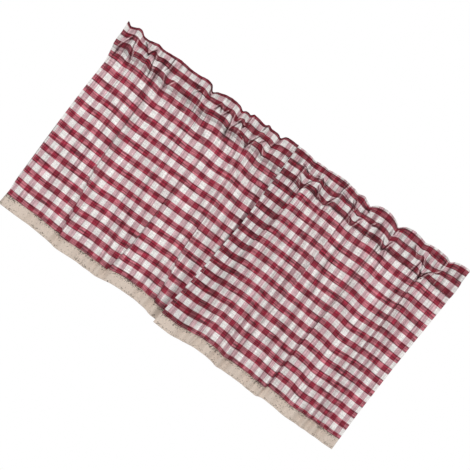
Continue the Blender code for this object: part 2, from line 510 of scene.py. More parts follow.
    def fold_relief(self, share: np.ndarray, height: float) -> np.ndarray:
        """Return the folds' depth: a cosine wave from each fold line to the next.

        Args:
            share: Places across the curtain, from 0 at its left edge to 1 at its right.
            height: The height of the row.

        Returns:
            Depth behind the rod's plane at each place.
        """
        left, right = self.edges(HEIGHTS.shoulder)
        hem_left, hem_right = self.edges(self.hem)
        fall = np.clip((HEIGHTS.shoulder - height) / (HEIGHTS.shoulder - self.hem), 0.0, 1.0)
        lines = [0.0]
        depths = [self.edge_depths[0]]
        for fold in self.folds:
            upper = (fold.shoulder * MM - left) / (right - left)
            lower = (fold.hem * MM - hem_left) / (hem_right - hem_left)
            lines.append(upper + (lower - upper) * fall)
            depths.append(fold.depth)
        places = np.array(lines + [1.0])
        levels = np.array(depths + [self.edge_depths[1]]) * MM
        first = np.clip(np.searchsorted(places, share, side="right") - 1, 0, len(places) - 2)
        between = (share - places[first]) / (places[first + 1] - places[first])
        wave = 0.5 - 0.5 * np.cos(np.pi * np.clip(between, 0.0, 1.0))
        return levels[first] + (levels[first + 1] - levels[first]) * wave

    def in_heading(self, height: float) -> float:
        """Return how far a height belongs to the heading, from 0 on the body to 1."""
        return smooth((height - self.lower_stitch) / (TUCK.heading_reach * MM) + 1.0)

    def crease_relief(self, across: np.ndarray, height: float) -> np.ndarray:
        """Return the depth of the creases and their ridges at one height."""
        relief = np.zeros_like(across)
        eased = TUCK.body_depth + (1.0 - TUCK.body_depth) * self.in_heading(height)
        for crease in self.creases:
            offset, strength = self.crease_offset(crease, across, height)
            turn = offset / (crease.width * MM)
            ridge = TUCK.ridge_narrowing * (turn - TUCK.ridge_offset * crease.side)
            tuck = np.exp(-(turn ** 2)) - TUCK.ridge_height * np.exp(-(ridge ** 2))
            relief += crease.depth * MM * strength * tuck * eased
        return relief

    def crease_shading(self, across: np.ndarray, height: float) -> np.ndarray:
        """Return the painted shade of the narrow creases along one row, with painted highlights beside
        them.

        Args:
            across: Places along the rod.
            height: The height of the row.

        Returns:
            Up to 1 for painted shade in a crease, and down to -1 for a painted highlight on the edge
            beside it.
        """
        share = np.zeros_like(across)
        edge = np.zeros_like(across)
        gathered = self.in_heading(height)
        breadth = (TUCK.breadth + TUCK.heading_breadth * gathered) * MM
        for crease in self.creases:
            offset, strength = self.crease_offset(crease, across, height)
            dark = min(1.0, (TUCK.dark + TUCK.heading_dark * gathered) * crease.depth / TUCK.full_depth)
            # painted shade down the crease, and a painted highlight on the edge at its ridge side
            share = np.maximum(share, np.exp(-((offset / breadth) ** 2)) * dark * strength)
            beside = (offset - TUCK.lit_offset * crease.side * breadth) / (TUCK.lit_breadth * breadth)
            edge = np.maximum(edge, np.exp(-beside ** 2) * dark * strength * gathered)
        return np.where(share > TUCK.dark_over_lit * edge, share, -edge)

    def ripples(self, across: np.ndarray, start: float) -> np.ndarray:
        """Return the fine gathers of the stitched rows, with narrow troughs between broad ridges."""
        fine = uneven_wave(across, GATHERING.fine_pitch, start)
        middling = uneven_wave(across, GATHERING.middling_pitch, 1.7 * start + 0.8)
        broad = uneven_wave(across, GATHERING.pucker_pitch, start)
        small, medium, large = GATHERING.ripple_shares
        wave = small * fine + medium * middling + large * broad
        return GATHERING.ripple * (wave + GATHERING.ripple_sharpness * wave * np.abs(wave))

    def heading_swell(self, across: np.ndarray, height: float) -> np.ndarray:
        """Return how the puckers swell to the front where the woven rows dip over the stitches."""
        pocket = self.heading[-1]
        reach = 1.0 - smooth(np.abs(height - pocket.height * MM) / (TUCK.heading_reach * MM))
        return GATHERING.pocket_flare * (self.line(pocket.points, across) - pocket.height * MM) * reach

    def parting_relief(self, across: np.ndarray, height: float) -> np.ndarray:
        """Return how far the cloth is pushed to clear the other curtain."""
        start, end, depth = self.parting
        reach = smooth((across / MM - start) / (end - start))
        return depth * MM * reach * smooth((self.lower_stitch - height) / GATHERING.part_growth)

    def body_relief(self, share: np.ndarray, across: np.ndarray, height: float) -> np.ndarray:
        """Return the relief of the hanging body that its true width is matched with."""
        drop = self.lower_stitch - height
        gathers = self.ripples(across, self.wave_start) * (1.0 - smooth(drop / GATHERING.ripple_fall))
        return gathers + self.fold_relief(share, height) * smooth(drop / GATHERING.fold_growth)


@dataclass
class Course:
    """One row of the cloth before it is placed: its height, its base depth and its relief.

    Along is how far up the flat cloth it lies. Fixed relief stays as it is. Free relief is scaled
    until the row is as wide as the flat cloth.
    """

    height: float
    depth: float
    along: float
    fixed: np.ndarray
    free: np.ndarray
    rise: np.ndarray


@dataclass
class ClothGrid:
    """Placed points of one curtain's cloth, by row and column, with the flat cloth's own sizes."""

    points: np.ndarray
    across_cloth: np.ndarray
    along_cloth: np.ndarray

    def at(self, across: float, along: float) -> tuple[Vector, Vector, Vector, Vector]:
        """Find a place on the cloth.

        Args:
            across: Distance over the flat cloth from its left edge.
            along: Distance up the flat cloth.

        Returns:
            The point, the normal to the front, and the directions across and along the cloth.
        """
        column = float(np.interp(across, self.across_cloth, np.arange(len(self.across_cloth))))
        row = float(np.interp(along, self.along_cloth, np.arange(len(self.along_cloth))))
        c = min(int(column), len(self.across_cloth) - 2)
        r = min(int(row), len(self.along_cloth) - 2)
        s, t = column - c, row - r
        corners = self.points[r:r + 2, c:c + 2]
        lower = corners[0, 0] * (1 - s) + corners[0, 1] * s
        upper = corners[1, 0] * (1 - s) + corners[1, 1] * s
        warp = Vector(upper - lower).normalized()
        near = corners[0, 0] * (1 - t) + corners[1, 0] * t
        far = corners[0, 1] * (1 - t) + corners[1, 1] * t
        weft = Vector(far - near).normalized()
        normal = weft.cross(warp).normalized()
        return Vector(lower * (1 - t) + upper * t), normal, weft, warp


class Bench:
    """A new material's node tree, with short ways to add nodes and join them."""

    def __init__(self, name: str, roughness: float) -> None:
        """Start a material with a Principled shader of one roughness."""
        self.material = bpy.data.materials.new(name)
        self.material.use_nodes = True
        self.tree = self.material.node_tree
        self.shader = self.tree.nodes["Principled BSDF"]
        self.shader.inputs["Roughness"].default_value = roughness

    def add(self, kind: str) -> bpy.types.Node:
        """Add one node of a kind."""
        return self.tree.nodes.new(kind)

    def feed(self, socket: Socket, value: object) -> None:
        """Join a socket to another, or set it to a value."""
        if isinstance(value, Socket):
            self.tree.links.new(value, socket)
        else:
            socket.default_value = value

    def math(self, operation: str, first: object, second: object = 0.0) -> Socket:
        """Add a Math node.

        Args:
            operation: The node's operation.
            first: A socket or a number.
            second: A socket or a number.

        Returns:
            The result's socket.
        """
        node = self.add("ShaderNodeMath")
        node.operation = operation
        self.feed(node.inputs[0], first)
        self.feed(node.inputs[1], second)
        return node.outputs[0]

    def ramp(self, value: object, low: float, high: float, to_low: float = 0.0,
             to_high: float = 1.0) -> Socket:
        """Map a value from one range to another, clamped.

        Args:
            value: The socket to map.
            low: Where the input range starts.
            high: Where the input range ends.
            to_low: The result at low.
            to_high: The result at high.

        Returns:
            The mapped value's socket.
        """
        node = self.add("ShaderNodeMapRange")
        self.feed(node.inputs["Value"], value)
        node.inputs["From Min"].default_value = low
        node.inputs["From Max"].default_value = high
        node.inputs["To Min"].default_value = to_low
        node.inputs["To Max"].default_value = to_high
        return node.outputs["Result"]

    def mottle(self, grain: object, low: float, high: float) -> Socket:
        """Map the middle of a noise's range to a value from low to high."""
        return self.ramp(grain, 0.3, 0.7, low, high)

    def mix(self, share: object, first: object, second: object) -> Socket:
        """Mix two colours by a share from 0 to 1.

        Args:
            share: A socket or a number.
            first: The colour at 0, as a socket or four numbers.
            second: The colour at 1, as a socket or four numbers.

        Returns:
            The mixed colour's socket.
        """
        node = self.add("ShaderNodeMix")
        node.data_type = "RGBA"
        self.feed(node.inputs["Factor"], share)
        self.feed(node.inputs[6], first)
        self.feed(node.inputs[7], second)
        return node.outputs[2]

    def tint(self, colour: object, strength: object) -> Socket:
        """Multiply a colour by a brightness.

        Args:
            colour: The colour, as a socket or three numbers.
            strength: The brightness, as a socket or a number.

        Returns:
            The changed colour's socket.
        """
        node = self.add("ShaderNodeVectorMath")
        node.operation = "SCALE"
        self.feed(node.inputs[0], colour)
        self.feed(node.inputs["Scale"], strength)
        return node.outputs[0]

    def cloth_axes(self) -> tuple[Socket, Socket, Socket]:
        """Return the flat cloth's vector, and its distances across and along."""
        coordinates = self.add("ShaderNodeTexCoord").outputs["UV"]
        split = self.add("ShaderNodeSeparateXYZ")
        self.feed(split.inputs[0], coordinates)
        return coordinates, split.outputs[0], split.outputs[1]

    def noise(self, vector: object, scales: Triple,
              detail: float = 2.0) -> Socket:
        """Add a noise whose grain is stretched along the cloth's axes.

        Args:
            vector: The coordinates' socket.
            scales: Grains in each metre, along each axis.
            detail: The noise's detail.

        Returns:
            The noise's value, around a half.
        """
        stretch = self.add("ShaderNodeMapping")
        self.feed(stretch.inputs["Vector"], vector)
        stretch.inputs["Scale"].default_value = scales
        node = self.add("ShaderNodeTexNoise")
        self.feed(node.inputs["Vector"], stretch.outputs[0])
        node.inputs["Scale"].default_value = 1.0
        node.inputs["Detail"].default_value = detail
        return node.outputs[0]

    def attribute(self, name: str) -> Socket:
        """Return the value of one of the mesh's own attributes."""
        node = self.add("ShaderNodeAttribute")
        node.attribute_name = name
        return node.outputs["Fac"]

    def bump(self, height: object, distance: float, strength: float = 1.0,
             under: object | None = None) -> Socket:
        """Add a Bump node.

        Args:
            height: The height's socket.
            distance: Metres that a height of 1 stands up.
            strength: The bump's strength.
            under: The normal of a bump below this one, if there is one.

        Returns:
            The bumped normal's socket.
        """
        node = self.add("ShaderNodeBump")
        self.feed(node.inputs["Height"], height)
        node.inputs["Distance"].default_value = distance
        node.inputs["Strength"].default_value = strength
        if under is not None:
            self.feed(node.inputs["Normal"], under)
        return node.outputs[0]


@dataclass(frozen=True)
class GinghamFinish:
    """Slubby plain-woven cotton in burgundy and white checks, dyed in the yarn.

    Painted shade darkens the checks where the cloth is doubled and in its creases, hollows and top
    rim, and a painted highlight lightens the crease edges. Cloud, fibre, slubs and crinkle are counted
    in grains to the metre. Each bump has its height in metres and its strength.
    """

    both_red: Colour = (0.222, 0.019, 0.037, 1.0)
    red_row: Colour = (0.362, 0.110, 0.136, 1.0)
    red_column: Colour = (0.525, 0.345, 0.368, 1.0)
    # Painted shade: the next colour darkens the red rows where the cloth is doubled, the fold colour
    # darkens creases, and the lit edge is a painted highlight beside them.
    shaded_red: Colour = (0.120, 0.003, 0.010, 1.0)
    painted_fold_shade: Colour = (0.085, 0.010, 0.017, 1.0)
    lit_edge: Colour = (0.800, 0.650, 0.650, 1.0)
    white: Colour = (0.705, 0.675, 0.658, 1.0)
    cloud: float = 34.0
    fibre: float = 400.0
    slub_rows: Triple = (22.0, 300.0, 1.0)
    slub_columns: Triple = (300.0, 20.0, 1.0)
    crinkle: Triple = (130.0, 70.0, 1.0)
    thread: float = 0.62 * MM
    soft_edge: float = 0.02
    border_inset: float = 0.028
    border_range: Pair = (0.008, 0.045)
    border_shades: Pair = (0.80, 0.90)
    slub_in_rows: Pair = (0.12, 0.62)
    slub_in_columns: Pair = (0.10, 0.27)
    fibre_shades: Pair = (0.80, 1.16)
    cloud_shades: Pair = (0.93, 1.05)
    doubled_red: float = 0.60
    doubled_shade: float = 0.86
    fold_shade_share: float = 0.9
    lit_colour: float = 0.42
    crinkle_bump: Pair = (0.7 * MM, 0.55)
    slub_bump: Pair = (0.2 * MM, 0.4)
    weave_bump: Pair = (0.12 * MM, 0.5)

    @staticmethod
    def from_middle(bench: Bench, distance: object) -> Socket:
        """Return the distance from the middle of the nearest red stripe, in checks."""
        turns = bench.math("DIVIDE", distance, WEAVE.check)
        part = bench.math("FRACT", bench.math("ADD", turns, 0.5))
        return bench.math("ABSOLUTE", bench.math("SUBTRACT", part, 0.5))

    def stripe(self, bench: Bench, distance: object, share: float) -> Socket:
        """Return 1 on the red stripes along one axis and 0 on the white ones.

        Args:
            bench: The material's bench.
            distance: Distance over the flat cloth, as a socket.
            share: The red stripe's share of the check.

        Returns:
            The stripe's mask.
        """
        half = 0.5 * share
        return bench.ramp(self.from_middle(bench, distance), half - self.soft_edge,
                          half + self.soft_edge, 1.0, 0.0)

    def border(self, bench: Bench, distance: object, share: float, shade: float) -> Socket:
        """Return the brightness of the close-beaten yarns just inside the edges of the red stripes.

        Args:
            bench: The material's bench.
            distance: Distance over the flat cloth, as a socket.
            share: The red stripe's share of the check.
            shade: The brightness at the edge.

        Returns:
            The brightness, 1 away from the edges.
        """
        from_middle = self.from_middle(bench, distance)
        past_edge = bench.math("SUBTRACT", from_middle, 0.5 * share - self.border_inset)
        return bench.ramp(bench.math("ABSOLUTE", past_edge), *self.border_range, shade, 1.0)

    @staticmethod
    def slub(bench: Bench, grain: object, stripe: object, on_white: float, on_red: float) -> Socket:
        """Return the brightness of yarn that is spun unevenly, more so in the dyed stripes.

        Args:
            bench: The material's bench.
            grain: The grain's socket, around a half.
            stripe: The red stripe's mask.
            on_white: How strongly the grain shows on white yarn.
            on_red: How strongly it shows on red yarn.

        Returns:
            The brightness, around 1.
        """
        amount = bench.ramp(stripe, 0.0, 1.0, on_white, on_red)
        uneven = bench.ramp(grain, 0.34, 0.66, -1.0, 1.0)
        return bench.math("ADD", bench.math("MULTIPLY", uneven, amount), 1.0)

    def build(self) -> bpy.types.Material:
        """Return the gingham's material."""
        bench = Bench("gingham_cotton", 0.88)
        vector, across, along = bench.cloth_axes()
        slub_rows = bench.noise(vector, self.slub_rows)
        slub_columns = bench.noise(vector, self.slub_columns)
        columns = self.stripe(bench, across, WEAVE.red_columns)
        rows = self.stripe(bench, along, WEAVE.red_rows)
        layers = bench.attribute("doubled")
        painted_shading = bench.attribute("painted_shading")

        on_white_rows = bench.mix(columns, self.white, self.red_column)
        on_red_rows = bench.mix(columns, self.red_row, self.both_red)
        colour = bench.mix(rows, on_white_rows, on_red_rows)
        # Painted shade: red rows darken where the cloth is doubled, creases darken, and crease edges get
        # a painted highlight.
        dense = bench.ramp(bench.math("MULTIPLY", layers, rows), 0.0, 1.0, 0.0, self.doubled_red)
        colour = bench.mix(dense, colour, self.shaded_red)
        colour = bench.mix(bench.ramp(painted_shading, 0.0, 1.0, 0.0, self.fold_shade_share), colour, self.painted_fold_shade)
        colour = bench.mix(bench.ramp(painted_shading, -1.0, 0.0, self.lit_colour, 0.0), colour, self.lit_edge)

        fibre = bench.noise(vector, (self.fibre, self.fibre, 1.0))
        cloud = bench.noise(vector, (self.cloud, self.cloud, 1.0))
        shade = self.slub(bench, slub_rows, rows, *self.slub_in_rows)
        for brightness in (self.slub(bench, slub_columns, columns, *self.slub_in_columns),
                           bench.mottle(fibre, *self.fibre_shades),
                           self.border(bench, along, WEAVE.red_rows, self.border_shades[0]),
                           self.border(bench, across, WEAVE.red_columns, self.border_shades[1]),
                           bench.mottle(cloud, *self.cloud_shades),
                           # painted shade where the cloth is doubled
                           bench.ramp(layers, 0.0, 1.0, 1.0, self.doubled_shade)):
            shade = bench.math("MULTIPLY", shade, brightness)
        bench.feed(bench.shader.inputs["Base Color"], bench.tint(colour, shade))

        weft, warp = (bench.math("SINE", bench.math("MULTIPLY", distance, math.pi / self.thread))
                      for distance in (across, along))
        crinkle = bench.bump(bench.noise(vector, self.crinkle, 4.0), *self.crinkle_bump)
        slubs = bench.bump(slub_rows, *self.slub_bump, crinkle)
        weave = bench.bump(bench.math("MULTIPLY", weft, warp), *self.weave_bump, slubs)
        bench.feed(bench.shader.inputs["Normal"], weave)
        bench.shader.inputs["Sheen Weight"].default_value = 0.12
        bench.shader.inputs["Sheen Roughness"].default_value = 0.5
        bench.shader.inputs["Specular IOR Level"].default_value = 0.18
        return bench.material


@dataclass(frozen=True)
class LaceFinish:
    """Undyed cotton lace: twisted greige yarn, worked close, with painted shade in its eyelets and on
    its turned end.
    """

    yarn: Colour = (0.655, 0.552, 0.472, 1.0)
    eyelet_shade: Colour = (0.105, 0.085, 0.070, 1.0)
    fleck: float = 420.0
    twist: float = 0.9 * MM

    def build(self) -> bpy.types.Material:
        """Return the lace's material."""
        bench = Bench("natural_cotton_lace", 0.92)
        vector, across, along = bench.cloth_axes()
        fleck = bench.noise(vector, (self.fleck, self.fleck, 1.0), 3.0)
        # Painted shade: eyelets and the turned end darken toward the second colour.
        colour = bench.mix(bench.ramp(bench.attribute("hollow_and_shade"), 0.15, 0.8), self.yarn, self.eyelet_shade)
        colour = bench.tint(colour, bench.mottle(fleck, 0.86, 1.08))
        bench.feed(bench.shader.inputs["Base Color"], colour)
        lays = []
        for slant in ("ADD", "SUBTRACT"):
            turns = bench.math("MULTIPLY", bench.math(slant, across, along), 2.0 * math.pi / self.twist)
            lays.append(bench.math("SINE", turns))
        braid = bench.math("MAXIMUM", *lays)
        grain = bench.bump(fleck, 0.4 * MM, 0.5)
        bench.feed(bench.shader.inputs["Normal"], bench.bump(braid, 0.25 * MM, 0.6, grain))
        bench.shader.inputs["Specular IOR Level"].default_value = 0.15
        return bench.material


@dataclass(frozen=True)
class ThreadFinish:
    """Matt sewing thread in a pale rose that sinks into the checks."""

    colour: Colour = (0.620, 0.420, 0.430, 1.0)
    ply: float = 2500.0

    def build(self) -> bpy.types.Material:
        """Return the thread's material."""
        bench = Bench("sewing_thread", 0.7)
        place = bench.add("ShaderNodeTexCoord").outputs["Object"]
        ply = bench.noise(place, (self.ply, self.ply, self.ply), 1.0)
        colour = bench.tint(self.colour[:3], bench.mottle(ply, 0.85, 1.1))
        bench.feed(bench.shader.inputs["Base Color"], colour)
        bench.feed(bench.shader.inputs["Normal"], bench.bump(ply, 0.08 * MM, 0.6))
        return bench.material


@dataclass(frozen=True)
class FloorFinish:
    """Pale matt studio floor."""

    colour: Colour = (0.86, 0.86, 0.85, 1.0)
    worn: Colour = (0.82, 0.82, 0.82, 1.0)
    cloud: float = 3.0

    def build(self) -> bpy.types.Material:
        """Return the floor's material."""
        bench = Bench("studio_floor", 0.9)
        place = bench.add("ShaderNodeTexCoord").outputs["Object"]
        cloud = bench.mottle(bench.noise(place, (self.cloud, self.cloud, self.cloud)), 0.0, 0.15)
        bench.feed(bench.shader.inputs["Base Color"], bench.mix(cloud, self.colour, self.worn))
        return bench.material


def link_mesh(name: str, bm: bmesh.types.BMesh, material: bpy.types.Material) -> bpy.types.Object:
    """Make an object of a finished bmesh.

    Args:
        name: The piece's name.
        bm: The bmesh, which is freed.
        material: The piece's material.

    Returns:
        The linked object, at the origin.
    """
    mesh = bpy.data.meshes.new(name)
    bm.to_mesh(mesh)
    bm.free()
    mesh.materials.append(material)
    mesh.shade_smooth()
    piece = bpy.data.objects.new(name, mesh)
    bpy.context.scene.collection.objects.link(piece)
    return piece


def lay_flat(bm: bmesh.types.BMesh, flat: dict[bmesh.types.BMVert, Pair]) -> None:
    """Store each point's place on the flat cloth, which its material is laid out by."""
    uv = bm.loops.layers.uv.new("flat_cloth")
    for face in bm.faces:
        for loop in face.loops:
            loop[uv].uv = flat[loop.vert]


def thicken(piece: bpy.types.Object, name: str, thickness: float) -> bpy.types.Modifier:
    """Give a sheet its thickness, half to each side, and return the modifier."""
    skin = piece.modifiers.new(name, "SOLIDIFY")
    skin.thickness = thickness
    skin.offset = 0.0
    return skin


@dataclass
class CurtainCloth:
    """One curtain's length of gingham, from its hem over the heading to the turned-in end."""

    drape: Drape
    columns: int = 620
    body_rows: int = 58
    pocket_rows: int = 28
    frill_rows: int = 24
    fold_rows: int = 3
    behind_rows: tuple[int, int] = (5, 9)
    turning_clearance: float = 1.3 * MM
    turned_end: float = 5.0 * MM
    side_hem: float = 9.0 * MM
    hem_turning: float = 12.0 * MM
    row_evenness: float = 0.7
    relief_range: Pair = (0.3, 2.2)
    halvings: int = 20
    # rim_rows, the hollow sizes, turning_edge, pocket_thinning, pocket_edge and doubled_fade set where
    # the painted shade falls.
    rim_rows: int = 3
    turned_thickness: float = 2.2
    single_share: float = 0.42
    hollow_reach: tuple[int, int] = (20, 4)
    hollow_spread: Pair = (8.0, 1.8)
    hollow_depths: Pair = (0.2 * MM, 2.2 * MM)
    hollow_strength: float = 0.8
    hollow_fade: float = 9.0 * MM
    hollow_shade: float = 0.55
    turning_edge: float = 5.0 * MM
    pocket_thinning: float = 0.2
    pocket_edge: float = 8.0 * MM
    doubled_fade: float = 2.5 * MM
    share: np.ndarray = field(init=False)

    def __post_init__(self) -> None:
        """Prepare the evenly spaced samples across the curtain."""
        self.share = np.linspace(0.0, 1.0, self.drape.samples)

    @property
    def front_rows(self) -> int:
        """Return how many rows of the cloth face the front."""
        return self.body_rows + self.pocket_rows + self.frill_rows

    def across_at(self, height: float) -> np.ndarray:
        """Return the samples' places along the rod at one height."""
        left, right = self.drape.edges(height)
        return left + (right - left) * self.share

    def course(self, height: float, depth: float, fixed: np.ndarray, free: np.ndarray) -> Course:
        """Finish one row with what all rows have: the heading's swell, the creases and the rows' dip.

        Args:
            height: The row's height.
            depth: The row's base depth.
            fixed: Its relief that stays as it is.
            free: Its relief that is scaled to the cloth's width.

        Returns:
            The row.
        """
        drape = self.drape
        across = self.across_at(height)
        fixed = fixed + drape.heading_swell(across, height)
        fixed = fixed + drape.crease_relief(across, height)
        return Course(height, depth, drape.thread_along(height), fixed, free,
                      drape.row_rise(across, height))

    def body_course(self, height: float) -> Course:
        """Return one row of the hanging body."""
        across = self.across_at(height)
        return self.course(height, 0.0, self.drape.parting_relief(across, height),
                           self.drape.body_relief(self.share, across, height))

    def pocket_course(self, share: float, face: Face) -> Course:
        """Return one row of the rod pocket.

        Args:
            share: From 0 at the lower stitches to 1 at the upper ones.
            face: The layer's side of the rod.

        Returns:
            The row.
        """
        drape = self.drape
        height = drape.lower_stitch + (HEIGHTS.upper_stitch - drape.lower_stitch) * (
            0.5 - 0.5 * math.cos(math.pi * share))
        across = self.across_at(height)
        swell = math.sin(math.pi * share) ** (1.9 - 1.1 * smooth(2.0 * share))
        gap = 0.5 * GATHERING.layer_gap
        start = drape.wave_start + GATHERING.back_start * face.value
        pucker = 0.5 + 0.5 * uneven_wave(across, GATHERING.pucker_pitch, start)
        low = drape.ripples(across, drape.wave_start)
        high = drape.ripples(across, drape.wave_start + GATHERING.upper_start)
        middle = drape.ripples(across + GATHERING.middle_slant * (share - 0.5),
                               start + GATHERING.middle_start)
        free = low * (1.0 - share) ** 2 + high * share ** 2
        free = free + middle * GATHERING.middle_share * share * (1.0 - share)
        return self.course(height, face.value * (GATHERING.bulge * swell + gap),
                           face.value * GATHERING.pucker * pucker * swell, free)

    def frill_course(self, share: float, depth: float) -> Course:
        """Return one row of the frill.

        Args:
            share: From 0 at the upper stitches to 1 at the top edge.
            depth: The layer's distance from the frill's middle.

        Returns:
            The row.
        """
        drape = self.drape
        height = HEIGHTS.upper_stitch + (HEIGHTS.frill_top - HEIGHTS.upper_stitch) * share
        across = self.across_at(height)
        wave = GATHERING.frill_wave * uneven_wave(across, GATHERING.frill_pitch,
                                                  drape.wave_start + GATHERING.frill_start)
        top = drape.line(drape.heading[0].points, across)
        flare = -GATHERING.frill_flare * (top - GATHERING.frill_level * HEIGHTS.frill_top)
        high = drape.ripples(across, drape.wave_start + GATHERING.upper_start)
        loose = drape.ripples(across + GATHERING.loose_slant * share,
                              drape.wave_start + GATHERING.loose_start)
        free = high * (1.0 - share) + loose * GATHERING.loose_share * share
        return self.course(height, depth, (wave + flare) * smooth(share), free)

    def courses(self) -> list[Course]:
        """Return every row of the cloth, from the hem up the front, over the top and down behind."""
        drape = self.drape
        rows = []
        for index in range(self.body_rows):
            share = index / self.body_rows
            rise = share * self.row_evenness + (1.0 - self.row_evenness) * (1.0 - (1.0 - share) ** 2)
            rows.append(self.body_course(drape.hem + (drape.lower_stitch - drape.hem) * rise))
        gap = 0.5 * GATHERING.layer_gap
        for index in range(self.pocket_rows):
            rows.append(self.pocket_course(index / self.pocket_rows, Face.FRONT))
        for index in range(self.frill_rows):
            rows.append(self.frill_course(index / self.frill_rows, -gap))
        crown = drape.thread_along(HEIGHTS.frill_top)
        for index in range(self.fold_rows + 1):
            angle = math.pi * index / self.fold_rows
            top = self.frill_course(1.0, -gap * math.cos(angle))
            top.height += gap * math.sin(angle)
            top.along = crown + gap * angle
            rows.append(top)
        turned = 2.0 * crown + gap * math.pi
        frill, pocket = self.behind_rows
        behind = [self.frill_course(1.0 - index / frill, gap) for index in range(1, frill + 1)]
        behind += [self.pocket_course(1.0 - index / pocket, Face.BACK) for index in range(1, pocket + 1)]
        end = self.pocket_course(0.0, Face.BACK)
        end.height -= self.turned_end
        end.along -= self.turned_end
        for course in behind + [end]:
            course.depth += self.turning_clearance
            course.along = turned - course.along
            rows.append(course)
        return rows

    def place(self, course: Course) -> np.ndarray:
        """Place one row's warp threads, with the free relief scaled to the cloth's true width.

        Args:
            course: The row.

        Returns:
            One point for each column.
        """
        across = self.across_at(course.height)
        low, high = self.relief_range
        for _ in range(self.halvings):
            scale = 0.5 * (low + high)
            relief = course.fixed + course.free * scale
            length = float(np.hypot(np.diff(across), np.diff(relief)).sum())
            if length < self.drape.flat_width:
                low = scale
            else:
                high = scale
        x = self.drape.thread_places(self.threads(), course.height)
        y = np.interp(x, across, relief) + course.depth
        z = np.interp(x, across, course.rise) + course.height
        return np.stack([x, y, z], axis=1)

    def threads(self) -> np.ndarray:
        """Return the distance of each column of the mesh over the flat cloth."""
        return np.linspace(0.0, self.drape.flat_width, self.columns + 1)

    def grid(self) -> ClothGrid:
        """Place the whole cloth."""
        courses = self.courses()
        points = np.array([self.place(course) for course in courses])
        return ClothGrid(points, self.threads(), np.array([course.along for course in courses]))

    def hollows(self, grid: ClothGrid) -> np.ndarray:
        """Measure how deep each point of the front lies behind the cloth around it, for the painted
        shade in its hollows.

        Args:
            grid: The placed cloth.

        Returns:
            The depths from 0 to 1 by row and column, 0 below the stitches and on the back.
        """
        depth = grid.points[:self.front_rows, :, 1]
        reach_across, reach_up = self.hollow_reach
        padded = np.pad(depth, ((reach_up, reach_up), (reach_across, reach_across)), mode="edge")
        weights = bell(reach_across, self.hollow_spread[0])
        across = np.array([np.convolve(row, weights, "valid") for row in padded])
        weights = bell(reach_up, self.hollow_spread[1])
        around = np.array([np.convolve(column, weights, "valid") for column in across.T]).T
        start, full = self.hollow_depths
        share = smooth((depth - around - start) / full)
        height = grid.points[:len(depth), :, 2]
        strength = self.hollow_strength * smooth((height - self.drape.lower_stitch) / self.hollow_fade)
        empty = np.zeros((len(grid.points) - len(depth), depth.shape[1]))
        return np.concatenate([share * strength, empty])

    def shades(self, grid: ClothGrid, row: int) -> tuple[np.ndarray, np.ndarray]:
        """Work out one row's painted shade where it is doubled by cloth behind it, and its painted shade
        in creases and along the rim, with painted highlights beside the creases.

        Args:
            grid: The placed cloth.
            row: The row.

        Returns:
            By column, the painted shade of doubled cloth from 0 to 1, and the painted crease and rim
            shade from -1 for a highlight to 1 for full shade.
        """
        drape = self.drape
        across = grid.points[row, :, 0]
        height = float(np.mean(grid.points[row, :, 2]))
        if row > self.front_rows:
            return np.zeros_like(across), np.zeros_like(across)
        shade_marks = drape.crease_shading(across, height)
        rim = self.front_rows - row
        # Painted shade along the top rim.
        if 0 <= rim < self.rim_rows:
            shade_marks = np.maximum(shade_marks, drape.rim_shade * (1.0 - rim / (self.rim_rows + 1)))
        # Painted shade where the cloth is doubled: over the heading and down to the turning fall below
        # it, a little less above the lower stitches, and left of the doubled edge.
        turned = drape.lower_stitch - drape.turning_fall
        gathered = float(smooth((height - turned) / self.turning_edge + 0.5))
        above = float(smooth((height - drape.lower_stitch) / self.pocket_edge))
        gathered *= 1.0 - self.pocket_thinning * above
        if not drape.doubled_edge:
            return np.full_like(across, gathered), shade_marks
        heights = [point.height for point in drape.doubled_edge]
        edge = at_height(height, heights, [point.across for point in drape.doubled_edge])
        covered = smooth((edge * MM - across) / self.doubled_fade + 0.5)
        return np.maximum(gathered, covered), shade_marks

    def build(self, grid: ClothGrid, material: bpy.types.Material, part: str,
              rows: range) -> bpy.types.Object:
        """Build one part of the cloth as a closed thin sheet.

        Args:
            grid: The placed cloth.
            material: The gingham.
            part: The part's name.
            rows: The part's rows of the grid.

        Returns:
            The part's object.
        """
        bm = bmesh.new()
        bmesh.ops.create_grid(bm, x_segments=self.columns, y_segments=len(rows) - 1, size=1.0)
        doubled = bm.verts.layers.float.new("doubled")
        painted_shading = bm.verts.layers.float.new("painted_shading")
        turnings = bm.verts.layers.deform.new()
        shades = [self.shades(grid, row) for row in range(len(grid.points))]
        hollows = self.hollows(grid)
        flat = {}
        for vert in bm.verts:
            column = round((vert.co.x + 1.0) * 0.5 * self.columns)
            row = rows[round((vert.co.y + 1.0) * 0.5 * (len(rows) - 1))]
            across, along = float(grid.across_cloth[column]), float(grid.along_cloth[row])
            flat[vert] = (across - self.drape.first_column, along - self.drape.first_row)
            # Painted shade where the cloth is doubled, and the painted shade and highlights of the
            # creases, hollows and rim.
            vert[doubled] = float(shades[row][0][column])
            tuck = float(shades[row][1][column])
            vert[painted_shading] = max(tuck, self.hollow_shade * float(hollows[row, column])) + min(tuck, 0.0)
            edge = min(across, self.drape.flat_width - across) < self.side_hem
            vert[turnings][0] = 1.0 if edge or along < self.hem_turning else 0.0
            vert.co = grid.points[row, column]
        lay_flat(bm, flat)
        piece = link_mesh(f"{self.drape.name}_{part}_cloth", bm, material)
        piece.vertex_groups.new(name="turnings")
        skin = thicken(piece, "cloth thickness", self.turned_thickness * WEAVE.thickness)
        skin.vertex_group = "turnings"
        skin.thickness_vertex_group = self.single_share
        return piece


